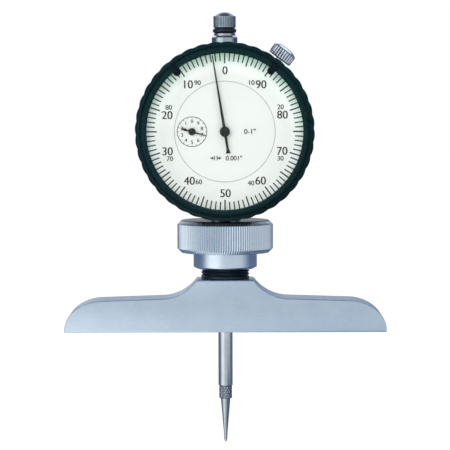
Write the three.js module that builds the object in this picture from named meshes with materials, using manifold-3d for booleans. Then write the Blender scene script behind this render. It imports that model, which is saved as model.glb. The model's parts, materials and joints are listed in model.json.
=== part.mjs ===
// Dial depth gauge: a steel bridge base, a knurled clamp nut on a threaded bush, and a dial
// head whose spindle carries a needle point.
// Millimetres, +Z up, the dial faces -Y. The origin is the centre of the measuring face, on
// the spindle's axis. The head stands on its own group, with its origin at the dial's centre.

import * as THREE from 'three';
import { mergeVertices } from 'three/addons/utils/BufferGeometryUtils.js';
import Module from 'manifold-3d';

const wasm = await Module();
wasm.setup();

// Fits and gaps
const turningFit = 0.1; // radial gap of pieces that turn or slide in each other
const looseFit = 0.3; // gap of pieces that pass each other freely
const restGap = 0.3; // gap under the bezel, above the nut

// Base
const baseLength = 101.6;
const baseDepth = 16;
const endLand = 0.6;
const endReach = 12;
const endHeight = 10;
const shoulderHeight = 10.6;
const neckHeight = 16.4;
const neckWidth = 18;
const flankRadius = 14;
const baseChamfer = 0.5;
const baseBore = 5.6;

// Collet bush, collet and clamp nut
const bushShank = 11.2;
const bushShankLength = 10;
const bushThread = 15.4;
const bushExposed = 3.3;
const bushChamfer = 0.35;
const colletWall = 1.1;
const colletSeatHeight = 2.6;
const colletTaper = 2.2;
const colletSlit = 1;
const collarDiameter = 20.1;
const collarHeight = 5.1;
const collarChamfer = 1.1;
const nutDiameter = 30.3;
const nutHeadHeight = 10.3;
const nutRoof = 2.3; // from the collet's top to the nut's top
const nutChamfer = 1.35;
const nutKnurls = 80;
const knurlDepth = 0.35;

// Spindle, contact point and lifting cap
const spindleDiameter = 4.55;
const spindleReach = 17.55; // below the measuring face, with the spindle right down
const spindleTravel = 25.4;
const overTravel = 0.4;
const pointGrip = 4.2;
const pointGripLength = 4.25;
const needleDiameter = 3;
const needleWaist = 1.2;
const needleLength = 13.95;
const needleTip = 2.6; // length of the rounded tip
const needleTipFoot = 1; // from the rounded tip up to where the taper ends
const studDiameter = 2.4; // stud under the cap and stud of the contact point
const studLength = 3.4;
const capDiameter = 7.05;
const capHeight = 3.8;
const capDome = 1.2;
const capDomeInset = 0.45; // flat rim round the dome
const ringDiameter = 7.5;
const ringThickness = 1.65;

// Case, stem and top bush
const caseDiameter = 50.4;
const caseWall = 2.2;
const caseFloor = 1.2;
const backRoom = 6.4; // from the spindle's axis to the back cover
const coverThickness = 1.5;
const coverRim = 1.6; // breadth of the slope round the cover
const coverScrewInset = 3.6;
const screwShank = 1.4;
const screwHead = 2.6;
const screwHeadHeight = 0.6;
const coverBoss = 4.2;
const coverBossLength = 1.5;
const stemDiameter = 9.525;
const stemLength = 29.5;
const stemStandIn = 1.3; // stem above the inside of the case wall
const topCollarDiameter = 8.1;
const topCollarHeight = 5.35;
const topCollarChamfer = 0.55;
const topNeckDiameter = 6.9;
const topNeckHeight = 0.75;
const topShank = 6.2;
const seatDepth = 0.6; // flats cut into the case for the top bush and the clamp block

// Dial, bezel and crystal
const bezelWall = 2.75; // radial steps from the case's outside
const lipInset = 0.6;
const frontRingOutset = 0.5;
const dialInset = 0.3;
const bezelFront = 3.9; // from the dial's face to the front of the bezel
const bezelBehind = 4.3; // from the dial's face to the back of the bezel
const lipThickness = 0.7;
const grooveWidth = 0.9;
const grooveDepth = 1.7;
const bandSet = 1.2; // from the bezel's front to the inner edge of its scalloped band
const bandFront = 2.2;
const dialRingWall = 0.6;
const scallops = 40;
const scallopDepth = 0.4;
const scallopCrown = 0.5; // share of the pitch that a lobe keeps at full height
const scallopPhase = 4.5;
const dialThickness = 0.5;
const innerDialShare = 0.618; // its radius as a share of the case's
const crystalThickness = 1;
const wireDiameter = 0.56;
const wireSetback = 2.9; // from the dial's face to the bezel's wire

// Movement
const movementDepth = 8.8; // from the movement plate to the case floor
const plateThickness = 1;
const gearReach = 0.442; // distance of the gears' axes, as a share of the room in the case
const gearTeeth = 80;
const pinionTeeth = 8;
const addendumShare = 0.75; // shares of the module
const gearDedendumShare = 1.9;
const pinionDedendumShare = 1.2;
const gearTipShare = 0.2; // shares of a tooth's pitch
const pinionTipShare = 0.16;
const pinionRootShare = 0.2;
const gearWidth = 0.8;
const gearSetback = 0.8; // from the case floor to the counter gear
const gearSpacing = 1.2;
const rackTeeth = 16; // teeth of the pinion that the rack turns, once for the whole travel
const rackPinionWidth = 2.4;
const rackAddendum = 0.34;
const rackDedendum = 0.44;
const rackWheelTipShare = 0.22;
const rackWheelRootShare = 0.24;
const rackGapMouth = 0.76; // shares of the rack's pitch
const rackGapFloor = 0.34;
const rackInset = 0.4; // from the spindle's axis to the rack's pitch line, as a share of its radius
const arborDiameter = 0.9;
const pillarDiameter = 3;
const pillarGap = 0.6; // from the rim of the two large gears to the pillar beside them
const bridgeGap = 4.2; // from the spindle's axis to the rear bridge
const bridgeMargin = 1; // metal round the screw heads on it
const plateScrewLength = 3;
const bridgeScrewEntry = 2; // length of a bridge screw beyond the movement plate
const guideThickness = 1;
const guideWidth = 6;
const guidePin = 1.2;
const guideLand = 0.6;
const springOffset = 6;
const springCoil = 2.2;
const springWire = 0.4;
const springTurns = 12;
const springArmRoom = 2.6; // above the spring's arm, with the spindle up
const springPostRise = 3.5; // above the stem
const springPin = 1.2;
const hairspringTurns = 3.5;
const hairspringInner = 1.1;
const hairspringOuter = 4.2;
const hairspringWidth = 0.8;
const hairspringStrip = 0.16;
const hairspringGap = 1.6; // from the movement plate

// Hands
const pointerInset = 0.7; // from the bezel's lip to the pointer's tip
const pointerTail = 6.8;
const pointerWidth = 0.95;
const pointerTip = 0.3;
const tailFlare = 1.5;
const handThickness = 0.25;
const hubDiameter = 3.2;
const hubThickness = 0.4;
const pointerLift = 1.2; // from the dial's face to the pointer
const counterLift = 0.5;
const pointerReading = -9.2; // degrees clockwise from the top
const counterReading = 106.5;
const counterHandLength = 4.5;
const counterHandTail = 3.8;
const counterTailFlare = 0.9;
const counterTailWaist = 2.2; // from the hub's axis to the tail's widest place
const counterHubDiameter = 2.3;
const counterHubThickness = 0.3;

// Bezel clamp and limit hands
const clampBearing = 37; // degrees clockwise from the top
const clampSetback = 5.5; // from the spindle's axis towards the dial
const clampKnob = 8.0;
const clampKnobHeight = 3.3;
const clampKnobDome = 0.9;
const clampKnurls = 20;
const clampShank = 2;
const clampStandOff = 0.4; // from the bezel's edge to the knob
const clampBlockWidth = 7;
const clampBlockHeight = 2.8;
const limitOverhang = 2.2; // beyond the bezel's lip
const limitWidth = 2.3;
const limitThickness = 0.4;
const hookFit = 0.25; // gap of its hook in the groove
const limitBearings = { limit_hand_right: 37.3, limit_hand_left: -38.7 };

// Sides of the round forms, by size
const sides = { huge: 44, large: 32, medium: 20, small: 14, tiny: 8 };

// Heights and depths that follow from the sizes
const spindleRadius = spindleDiameter / 2;
const stemRadius = stemDiameter / 2;
const caseRadius = caseDiameter / 2;
const bezelRadius = caseRadius + bezelWall;
const lipRadius = caseRadius - lipInset;
const frontRingRadius = caseRadius + frontRingOutset;
const dialRadius = caseRadius - dialInset;
const innerDialRadius = innerDialShare * caseRadius;
const nutBottom = neckHeight + bushExposed;
const nutTop = nutBottom + collarHeight + nutHeadHeight;
const dialHeight = nutTop + restGap + bezelRadius;
const plateBack = -(spindleRadius + looseFit);
const plateFront = plateBack - plateThickness;
const floorBack = plateFront - movementDepth;
const floorFront = floorBack - caseFloor;
const dialBack = floorFront;
const dialFace = dialBack - dialThickness;
const bezelNose = dialFace - bezelFront;
const bezelTail = dialFace + bezelBehind;
const wirePlane = dialFace + wireSetback;
const caseInner = caseRadius - caseWall;
const gearDistance = gearReach * caseInner;
const gearModule = (2 * gearDistance) / (gearTeeth + pinionTeeth);
const gearPitch = (gearModule * gearTeeth) / 2;
const pinionPitch = (gearModule * pinionTeeth) / 2;
const rackPitch = spindleTravel / (2 * Math.PI);
const rackPitchStep = spindleTravel / rackTeeth;
const rackTip = rackPitch + rackAddendum;
const rackLine = -rackInset * spindleRadius;
const rackBearing = Math.acos((rackLine - rackPitch) / gearDistance);
const rackAxis = { x: gearDistance * Math.cos(rackBearing), z: gearDistance * Math.sin(rackBearing) };
const counterAxis = { x: -gearDistance, z: 0 };
const counterGearFront = floorBack + gearSetback;
const rackGearFront = counterGearFront + gearWidth + gearSpacing;
const stemTop = -caseInner + stemStandIn;
const stemFoot = stemTop - stemLength;
const topSeat = caseRadius - seatDepth;
const topNeckTop = topSeat + topCollarHeight + topNeckHeight;
const capSeat = topNeckTop + ringThickness;
const spindleFoot = -(dialHeight + spindleReach);
const lift = spindleTravel + overTravel;
const springArmHeight = caseInner - springArmRoom - lift;
const springPostHeight = stemTop + springPostRise;
const pointerLength = lipRadius - pointerInset;

// Finishes
function finish(color, roughness, metalness) {
  return new THREE.MeshStandardMaterial({ color, roughness, metalness });
}
const satinChrome = () => finish(0xb9c7d4, 0.38, 0.9);
const groundSteel = () => finish(0xaab2b8, 0.3, 0.95);
const blackOxide = () => finish(0x14262c, 0.45, 0.6);
const blackPaint = () => finish(0x0f2c34, 0.5, 0.1);
const brass = () => finish(0xb89a55, 0.4, 0.9);
const dialWhite = () => finish(0xf0f6f2, 0.7, 0);
const rubber = () => finish(0x161616, 0.85, 0);
const acrylic = () => finish(0xf4fbf8, 0.05, 0);
const blueSteel = () => finish(0x3b4a6b, 0.35, 0.9);

// Outlines: points round a circle, with every second one drawn in for a knurl
function ring(radius, count, x = 0, y = 0) {
  return ridged(radius, radius, count, x, y);
}

function ridged(crest, valley, count, x = 0, y = 0) {
  const points = [];
  for (let i = 0; i < count; i += 1) {
    const angle = (2 * Math.PI * i) / count;
    const radius = i % 2 === 0 ? crest : valley;
    points.push(new THREE.Vector2(x + radius * Math.cos(angle), y + radius * Math.sin(angle)));
  }
  return points;
}

function outline(points, holes = []) {
  const shape = new THREE.Shape(points);
  holes.forEach((hole) => shape.holes.push(new THREE.Path(hole)));
  return shape;
}

// Outline of a gear: flat-topped teeth, with a root of its own width, or a sharp one when 0
function gearOutline(teeth, tip, root, tipShare, rootShare, phase) {
  const pitch = (2 * Math.PI) / teeth;
  const points = [];
  const add = (radius, angle) => {
    points.push(new THREE.Vector2(radius * Math.cos(angle), radius * Math.sin(angle)));
  };
  for (let i = 0; i < teeth; i += 1) {
    const middle = phase + i * pitch;
    add(tip, middle - (tipShare * pitch) / 2);
    add(tip, middle + (tipShare * pitch) / 2);
    if (rootShare > 0) {
      add(root, middle + ((1 - rootShare) * pitch) / 2);
      add(root, middle + ((1 + rootShare) * pitch) / 2);
    } else {
      add(root, middle + pitch / 2);
    }
  }
  return points;
}

// Forms. A turned form takes radius and station along its axis, a plate is cut from a
// drawing of X and Z and lies between two depths, and a prism stands on a height.
function turned(points, count) {
  const profile = points.map(([radius, station]) => new THREE.Vector2(radius, station));
  if (THREE.ShapeUtils.area(profile) < 0) {
    profile.reverse();
  }
  if (profile[0].x > 0) {
    profile.push(profile[0].clone());
  }
  return new THREE.LatheGeometry(profile, count);
}

function turnedUpright(points, count) {
  return turned(points, count).rotateX(Math.PI / 2);
}

function plate(shape, front, back) {
  const geometry = new THREE.ExtrudeGeometry(shape, { depth: back - front, bevelEnabled: false });
  return geometry.rotateX(Math.PI / 2).translate(0, back, 0);
}

function prism(shape, bottom, top) {
  const geometry = new THREE.ExtrudeGeometry(shape, { depth: top - bottom, bevelEnabled: false });
  return geometry.translate(0, 0, bottom);
}

function rod(diameter, front, back, x, z, count) {
  const radius = diameter / 2;
  return turned([[0, front], [radius, front], [radius, back], [0, back]], count).translate(x, 0, z);
}

// Cutting and joining
function solidOf(geometry) {
  const bare = geometry.clone();
  bare.deleteAttribute('normal');
  bare.deleteAttribute('uv');
  const welded = mergeVertices(bare, 1e-4);
  const corners = welded.index.array;
  const kept = [];
  for (let i = 0; i < corners.length; i += 3) {
    const [a, b, c] = corners.slice(i, i + 3);
    if (a !== b && b !== c && c !== a) {
      kept.push(a, b, c);
    }
  }
  return new wasm.Manifold(new wasm.Mesh({
    numProp: 3,
    vertProperties: new Float32Array(welded.attributes.position.array),
    triVerts: new Uint32Array(kept),
  }));
}

function geometryOf(solid) {
  const { vertProperties, triVerts } = solid.getMesh();
  const geometry = new THREE.BufferGeometry();
  geometry.setAttribute('position', new THREE.BufferAttribute(vertProperties, 3));
  geometry.setIndex(new THREE.BufferAttribute(triVerts, 1));
  return geometry;
}

function cut(body, ...tools) {
  return geometryOf(tools.reduce((rest, tool) => rest.subtract(solidOf(tool)), solidOf(body)));
}

function join(...bodies) {
  return geometryOf(bodies.slice(1).reduce((sum, body) => sum.add(solidOf(body)), solidOf(bodies[0])));
}

// The assembly: a group for each thing that moves by itself
const gauge = new THREE.Group();
const head = new THREE.Group();
head.position.z = dialHeight;
const spindleGroup = new THREE.Group();
const rackGroup = new THREE.Group();
rackGroup.position.set(rackAxis.x, 0, rackAxis.z);
const pointerGroup = new THREE.Group();
const counterGroup = new THREE.Group();
counterGroup.position.set(counterAxis.x, 0, counterAxis.z);
const bezelGroup = new THREE.Group();
head.add(spindleGroup, rackGroup, pointerGroup, counterGroup, bezelGroup);
gauge.add(head);

function addPiece(parent, name, geometry, material) {
  const mesh = new THREE.Mesh(geometry, material);
  mesh.name = name;
  parent.add(mesh);
  return mesh;
}

// Base: a bridge with elliptical ends and a concave flank up to the neck on each side
function makeBase() {
  const half = baseLength / 2;
  const arcSteps = 8;
  const side = [[half, 0], [half, endLand]];
  for (let i = 1; i <= arcSteps; i += 1) {
    const angle = (Math.PI / 2) * (i / arcSteps);
    const height = endLand + (endHeight - endLand) * Math.sin(angle);
    side.push([half - endReach * (1 - Math.cos(angle)), height]);
  }
  const rise = neckHeight - shoulderHeight;
  const sweep = Math.acos(1 - rise / flankRadius);
  const flankFoot = neckWidth / 2 + flankRadius * Math.sin(sweep);
  for (let i = 0; i <= arcSteps; i += 1) {
    const angle = sweep * (i / arcSteps);
    const height = shoulderHeight + flankRadius * (1 - Math.cos(angle));
    side.push([flankFoot - flankRadius * Math.sin(angle), height]);
  }
  const mirrored = side.map(([x, z]) => [-x, z]).reverse();
  const shape = outline([...side, ...mirrored].map(([x, z]) => new THREE.Vector2(x, z)));
  const block = new THREE.ExtrudeGeometry(shape, {
    depth: baseDepth - 2 * baseChamfer,
    bevelThickness: baseChamfer,
    bevelSize: baseChamfer,
    bevelOffset: -baseChamfer,
    bevelSegments: 1,
  });
  block.rotateX(Math.PI / 2).translate(0, baseDepth / 2 - baseChamfer, 0);
  const socketRadius = bushShank / 2 + turningFit;
  const socketFloor = neckHeight - bushShankLength;
  const bores = turnedUpright([
    [0, -endLand], [baseBore / 2, -endLand], [baseBore / 2, socketFloor], [socketRadius, socketFloor],
    [socketRadius, neckHeight + endLand], [0, neckHeight + endLand],
  ], sides.medium);
  addPiece(gauge, 'base', cut(block, bores), satinChrome());
}

// Clamp: a bush in the base's neck, a split collet seated in it, and the nut over both
const colletInner = stemRadius + turningFit;
const colletOuter = colletInner + colletWall;
const colletSeat = neckHeight + colletSeatHeight;
const colletTop = nutTop - nutRoof;
const coneFoot = colletTop - colletTaper;
const colletCrown = colletInner + colletWall / 3;
const threadRadius = bushThread / 2;

function makeBush() {
  const shankFoot = neckHeight - bushShankLength;
  const bushTop = coneFoot - restGap;
  const throat = stemRadius + turningFit;
  const socket = colletOuter + turningFit;
  addPiece(gauge, 'collet_bush', turnedUpright([
    [throat, shankFoot], [bushShank / 2, shankFoot], [bushShank / 2, neckHeight],
    [threadRadius - bushChamfer, neckHeight], [threadRadius, neckHeight + bushChamfer],
    [threadRadius, bushTop], [socket, bushTop], [socket, colletSeat], [throat, colletSeat],
  ], sides.medium), blackOxide());
}

function makeCollet() {
  const sleeve = turnedUpright([
    [colletInner, colletSeat], [colletOuter, colletSeat], [colletOuter, coneFoot],
    [colletCrown, colletTop], [colletInner, colletTop],
  ], sides.medium);
  const slit = new THREE.BoxGeometry(colletSlit, 2 * colletOuter, 2 * (colletTop - colletSeat));
  slit.translate(0, colletOuter, (colletTop + colletSeat) / 2);
  addPiece(gauge, 'collet', cut(sleeve, slit), groundSteel());
}

function makeNut() {
  const bore = threadRadius + turningFit;
  const mouth = stemRadius + looseFit;
  const headBottom = nutBottom + collarHeight;
  const plain = nutDiameter / 2 - knurlDepth;
  const roof = colletTop + looseFit;
  const body = turnedUpright([
    [bore, nutBottom], [collarDiameter / 2 - collarChamfer, nutBottom],
    [collarDiameter / 2, nutBottom + collarChamfer / 2], [collarDiameter / 2, headBottom],
    [plain - nutChamfer, headBottom], [plain, headBottom + nutChamfer], [plain, nutTop - nutChamfer],
    [plain - nutChamfer, nutTop], [mouth, nutTop], [mouth, roof], [colletCrown + looseFit, roof],
    [colletOuter + looseFit, coneFoot], [bore, coneFoot],
  ], sides.large);
  const rim = ridged(nutDiameter / 2, plain, 2 * nutKnurls);
  const inside = ring(collarDiameter / 2, sides.small).reverse();
  const knurl = prism(outline(rim, [inside]), headBottom + nutChamfer, nutTop - nutChamfer);
  addPiece(gauge, 'clamp_nut', join(body, knurl), satinChrome());
}

// Case: a cup with its floor behind the dial, bored for the stem, the top bush and the arbors
function upright(radius, from, to) {
  return turnedUpright([[0, from], [radius, from], [radius, to], [0, to]], sides.medium);
}

function placesAt(angles, radius) {
  return angles.map((degrees) => {
    const angle = THREE.MathUtils.degToRad(degrees);
    return { x: radius * Math.cos(angle), z: radius * Math.sin(angle) };
  });
}

const coverPlaces = placesAt([45, 135, 225, 315], caseRadius - coverScrewInset);
const clampTurn = THREE.MathUtils.degToRad(clampBearing);
const wireRoom = wireDiameter / 2 + turningFit;
const arborHole = arborDiameter + 2 * turningFit;
const dialHole = arborDiameter + 2 * looseFit;
const threadHole = screwShank + 2 * turningFit;
const beyond = caseRadius + caseWall;
const blockFront = bezelTail + looseFit;
const blockBack = -clampSetback + clampBlockWidth / 2;

function makeCase() {
  const wireFloor = caseRadius - wireRoom;
  const cup = turned([
    [0, floorFront], [caseRadius, floorFront], [caseRadius, wirePlane - wireRoom],
    [wireFloor, wirePlane - wireRoom], [wireFloor, wirePlane + wireRoom],
    [caseRadius, wirePlane + wireRoom], [caseRadius, backRoom], [caseInner, backRoom],
    [caseInner, floorBack], [0, floorBack],
  ], sides.huge);
  const bossFront = backRoom - coverBossLength;
  const bosses = coverPlaces.map(({ x, z }) => rod(coverBoss, bossFront, backRoom, x, z, sides.tiny));
  const flatDepth = blockBack - blockFront + 2 * turningFit;
  const flat = new THREE.BoxGeometry(clampBlockWidth + 2 * turningFit, flatDepth, caseWall);
  flat.translate(0, (blockFront + blockBack) / 2, topSeat + caseWall / 2).rotateY(clampTurn);
  const bores = [
    upright(stemRadius + turningFit, -beyond, stemTop),
    upright(topShank / 2 + turningFit, caseInner - caseWall, beyond),
    upright(topCollarDiameter / 2 + turningFit, topSeat, beyond),
    rod(dialHole, floorFront - caseFloor, floorBack + caseFloor, 0, 0, sides.tiny),
    rod(dialHole, floorFront - caseFloor, floorBack + caseFloor, counterAxis.x, counterAxis.z, sides.tiny),
    rod(arborHole, floorBack - caseFloor / 2, floorBack + caseFloor, rackAxis.x, rackAxis.z, sides.tiny),
    ...coverPlaces.map(({ x, z }) => rod(threadHole, bossFront - caseWall, beyond, x, z, sides.tiny)),
  ];
  addPiece(head, 'case', cut(join(cup, ...bosses), flat, ...bores), blackPaint());
}

// Screw with a flat head, seated at a depth and driven towards the dial
function screwAt({ x, z }, seat, length) {
  const shank = screwShank / 2;
  const rim = screwHead / 2;
  const top = seat + screwHeadHeight;
  return turned([
    [0, seat - length], [shank, seat - length], [shank, seat], [rim, seat], [rim, top], [0, top],
  ], sides.tiny).translate(x, 0, z);
}

function makeCover() {
  const coverBack = backRoom + coverThickness;
  const disc = turned([
    [0, backRoom], [caseRadius, backRoom], [caseRadius, backRoom + coverThickness / 2],
    [caseRadius - coverRim, coverBack], [0, coverBack],
  ], sides.huge);
  const holes = coverPlaces.map(({ x, z }) => (
    rod(threadHole, floorBack, coverBack + caseWall, x, z, sides.tiny)
  ));
  addPiece(head, 'back_cover', cut(disc, ...holes), blackPaint());
  coverPlaces.forEach((place, i) => {
    const screw = screwAt(place, coverBack, coverThickness + coverBossLength);
    addPiece(head, `cover_screw_${i + 1}`, screw, groundSteel());
  });
}

// Stem below the case and bush above it: the spindle slides in both
const guideBore = spindleRadius + turningFit;

function makeGuides() {
  addPiece(head, 'stem', turnedUpright([
    [guideBore, stemFoot], [stemRadius - looseFit, stemFoot], [stemRadius, stemFoot + looseFit],
    [stemRadius, stemTop], [guideBore, stemTop],
  ], sides.medium), groundSteel());
  const shankFoot = caseInner - topNeckHeight;
  const collarTop = topSeat + topCollarHeight;
  const collarRadius = topCollarDiameter / 2;
  addPiece(head, 'top_bush', turnedUpright([
    [guideBore, shankFoot], [topShank / 2, shankFoot], [topShank / 2, topSeat], [collarRadius, topSeat],
    [collarRadius, collarTop - topCollarChamfer], [collarRadius - topCollarChamfer, collarTop],
    [topNeckDiameter / 2, collarTop], [topNeckDiameter / 2, topNeckTop], [guideBore, topNeckTop],
  ], sides.medium), satinChrome());
}

// Movement: a plate on four pillars behind the case floor, and a bridge on two more behind it.
// The ring of pillars is as small as the two large gears allow.
const gearTip = gearPitch + addendumShare * gearModule;
const pinionTip = pinionPitch + addendumShare * gearModule;
const pillarRadius = pillarDiameter / 2;
const halfSpread = (Math.PI - rackBearing) / 2;
const pillarReach = gearTip + pillarRadius + pillarGap;
const pillarRing = gearDistance * Math.cos(halfSpread)
  + Math.sqrt(pillarReach ** 2 - (gearDistance * Math.sin(halfSpread)) ** 2);
const pillarBetween = 180 - THREE.MathUtils.radToDeg(halfSpread);
const pillarPlaces = placesAt([180 - pillarBetween, pillarBetween, 228, 312], pillarRing);
const bridgePlaces = pillarPlaces.slice(0, 2);
const bridgeBack = bridgeGap + plateThickness;
const slotFoot = stemTop + restGap + guideLand;
const pinHeight = slotFoot + guidePin / 2 + turningFit;
const slotTop = pinHeight + lift + guidePin / 2 + turningFit;
const guideScrew = { x: 0, z: slotTop + guideLand + screwHead / 2 };

// Convex outline round a set of discs
function hull(discs, count) {
  const points = discs.flatMap(({ x, z, radius }) => ring(radius, count, x, z));
  points.sort((p, q) => p.x - q.x || p.y - q.y);
  const turn = (o, p, q) => (p.x - o.x) * (q.y - o.y) - (p.y - o.y) * (q.x - o.x);
  const chain = (list) => list.reduce((kept, point) => {
    while (kept.length > 1 && turn(kept[kept.length - 2], kept[kept.length - 1], point) <= 1e-6) {
      kept.pop();
    }
    return [...kept, point];
  }, []);
  const lower = chain(points);
  const upper = chain([...points].reverse());
  return [...lower.slice(0, -1), ...upper.slice(0, -1)];
}

function makeMovementPlates() {
  const through = (diameter, { x, z }) => rod(diameter, floorBack, backRoom, x, z, sides.tiny);
  const disc = plate(outline(ring(pillarRing + pillarRadius, sides.large)), plateFront, plateBack);
  addPiece(head, 'movement_plate', cut(
    disc,
    upright(stemRadius + looseFit, -beyond, stemTop + looseFit),
    upright(topShank / 2 + looseFit, caseInner - topNeckHeight - looseFit, beyond),
    through(arborHole, { x: 0, z: 0 }),
    through(arborHole, counterAxis),
    through(arborHole + looseFit, rackAxis),
    through(springPin + 2 * turningFit, { x: springOffset, z: springPostHeight }),
    ...pillarPlaces.map((place) => through(threadHole, place)),
  ), brass());
  const radius = screwHead / 2 + bridgeMargin;
  const discs = [...bridgePlaces, rackAxis, guideScrew].map((place) => ({ ...place, radius }));
  addPiece(head, 'rear_bridge', cut(
    plate(outline(hull(discs, sides.small)), bridgeGap, bridgeBack),
    through(arborHole, rackAxis),
    through(threadHole, guideScrew),
    ...bridgePlaces.map((place) => through(threadHole, place)),
  ), brass());
}

function makePillars() {
  const pillar = ({ x, z }, front, back) => turned([
    [threadHole / 2, front], [pillarRadius, front], [pillarRadius, back], [threadHole / 2, back],
  ], sides.tiny).translate(x, 0, z);
  pillarPlaces.forEach((place, i) => {
    addPiece(head, `pillar_${i + 1}`, pillar(place, floorBack, plateFront), brass());
  });
  pillarPlaces.slice(2).forEach((place, i) => {
    addPiece(head, `plate_screw_${i + 1}`, screwAt(place, plateBack, plateScrewLength), blueSteel());
  });
  const longScrew = bridgeBack - plateFront + bridgeScrewEntry;
  bridgePlaces.forEach((place, i) => {
    addPiece(head, `rear_pillar_${i + 1}`, pillar(place, plateBack, bridgeGap), brass());
    addPiece(head, `bridge_screw_${i + 1}`, screwAt(place, bridgeBack, longScrew), blueSteel());
  });
}

function makeGuidePlate() {
  const half = guideWidth / 2;
  const foot = stemTop + restGap;
  const top = guideScrew.z + screwHead / 2 + guideLand;
  const slotHalf = guidePin / 2 + turningFit;
  const blank = [[-half, foot], [half, foot], [half, top], [-half, top]];
  const slot = [[-slotHalf, slotFoot], [-slotHalf, slotTop], [slotHalf, slotTop], [slotHalf, slotFoot]];
  const hole = ring(threadHole / 2, sides.tiny, guideScrew.x, guideScrew.z).reverse();
  const corners = (list) => list.map(([x, z]) => new THREE.Vector2(x, z));
  const shape = outline(corners(blank), [corners(slot), hole]);
  addPiece(head, 'guide_plate', plate(shape, bridgeGap - guideThickness, bridgeGap), groundSteel());
  const length = plateThickness + guideThickness;
  addPiece(head, 'guide_screw', screwAt(guideScrew, bridgeBack, length), blueSteel());
}

// Spindle: the rack is cut into its left side, in step with the pinion's teeth
const rackRun = Math.sqrt((rackTip + looseFit) ** 2 - (-rackAxis.x - spindleRadius) ** 2) + looseFit;
const pointStud = studDiameter + turningFit;

function rackCutter() {
  const crest = rackLine - rackAddendum;
  const root = rackLine + rackDedendum;
  const low = rackAxis.z - rackRun - lift;
  const high = rackAxis.z + rackRun;
  const outside = -spindleDiameter;
  const mouth = (rackGapMouth / 2) * rackPitchStep;
  const floor = (rackGapFloor / 2) * rackPitchStep;
  const points = [[outside, low], [crest, low]];
  const first = Math.ceil((low - rackAxis.z) / rackPitchStep + 0.5);
  const last = Math.floor((high - rackAxis.z) / rackPitchStep - 0.5);
  for (let i = first; i <= last; i += 1) {
    const gap = rackAxis.z + i * rackPitchStep;
    points.push([crest, gap - mouth], [root, gap - floor], [root, gap + floor], [crest, gap + mouth]);
  }
  points.push([crest, high], [outside, high]);
  const shape = outline(points.map(([x, z]) => new THREE.Vector2(x, z)));
  return plate(shape, -spindleDiameter, spindleDiameter);
}

function makeSpindle() {
  const socket = pointStud / 2 + turningFit;
  const socketTop = spindleFoot + studLength + looseFit;
  const bar = turnedUpright([
    [0, socketTop], [socket, socketTop], [socket, spindleFoot], [spindleRadius - turningFit, spindleFoot],
    [spindleRadius, spindleFoot + turningFit], [spindleRadius, capSeat], [studDiameter / 2, capSeat],
    [studDiameter / 2, capSeat + studLength], [0, capSeat + studLength],
  ], sides.medium);
  const hole = (pin, height) => (
    rod(pin + 2 * turningFit, spindleRadius / 2, spindleDiameter, 0, height, sides.tiny)
  );
  const pinHole = hole(guidePin, pinHeight);
  const armHole = hole(springPin, 0);
  armHole.rotateZ(-Math.PI / 2).translate(0, 0, springArmHeight);
  addPiece(spindleGroup, 'spindle', cut(bar, rackCutter(), pinHole, armHole), groundSteel());

  const pinTip = bridgeGap - turningFit;
  const pin = rod(guidePin, spindleRadius / 2 + turningFit, pinTip, 0, pinHeight, sides.tiny);
  addPiece(spindleGroup, 'guide_pin', pin, blueSteel());
  const armTip = springOffset + springPin;
  const arm = rod(springPin, spindleRadius / 2 + turningFit, armTip, 0, 0, sides.tiny);
  arm.rotateZ(-Math.PI / 2).translate(0, 0, springArmHeight);
  addPiece(spindleGroup, 'spring_arm', arm, blueSteel());
}

const needleRounding = [[0.42, 0.33], [0.2, 0.06]]; // shares of the waist and of the tip's length

function makeContactPoint() {
  const grip = pointGrip / 2;
  const gripFoot = spindleFoot - pointGripLength;
  const tip = gripFoot - needleLength;
  addPiece(spindleGroup, 'contact_point', turnedUpright([
    [0, spindleFoot + studLength], [pointStud / 2, spindleFoot + studLength], [pointStud / 2, spindleFoot],
    [grip - looseFit, spindleFoot], [grip, spindleFoot - looseFit], [grip, gripFoot + looseFit],
    [grip - looseFit, gripFoot], [needleDiameter / 2, gripFoot],
    [needleWaist / 2, tip + needleTip + needleTipFoot],
    ...needleRounding.map(([radius, height]) => [radius * needleWaist, tip + height * needleTip]), [0, tip],
  ], sides.small), groundSteel());
}

function makeCap() {
  const radius = capDiameter / 2;
  const hole = studDiameter / 2 + turningFit;
  const ceiling = capSeat + studLength + turningFit;
  const shoulder = capSeat + capHeight;
  const domeRadius = radius - capDomeInset;
  const dome = [[domeRadius, shoulder]];
  const domeSteps = 3;
  for (let i = 1; i <= domeSteps; i += 1) {
    const angle = (Math.PI / 2) * (i / domeSteps);
    dome.push([domeRadius * Math.cos(angle), shoulder + capDome * Math.sin(angle)]);
  }
  dome[domeSteps][0] = 0;
  addPiece(spindleGroup, 'lifting_cap', turnedUpright([
    [0, ceiling], [hole, ceiling], [hole, capSeat], [radius - looseFit, capSeat],
    [radius, capSeat + looseFit], [radius, shoulder], ...dome,
  ], sides.medium), satinChrome());
  const inner = spindleRadius + turningFit;
  const outer = ringDiameter / 2;
  const soft = ringThickness / 4;
  const foot = topNeckTop + turningFit;
  addPiece(spindleGroup, 'o_ring', turnedUpright([
    [inner, foot + soft], [inner + soft, foot], [outer - soft, foot], [outer, foot + soft],
    [outer, capSeat - soft], [outer - soft, capSeat], [inner + soft, capSeat], [inner, capSeat - soft],
  ], sides.small), rubber());
}

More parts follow.
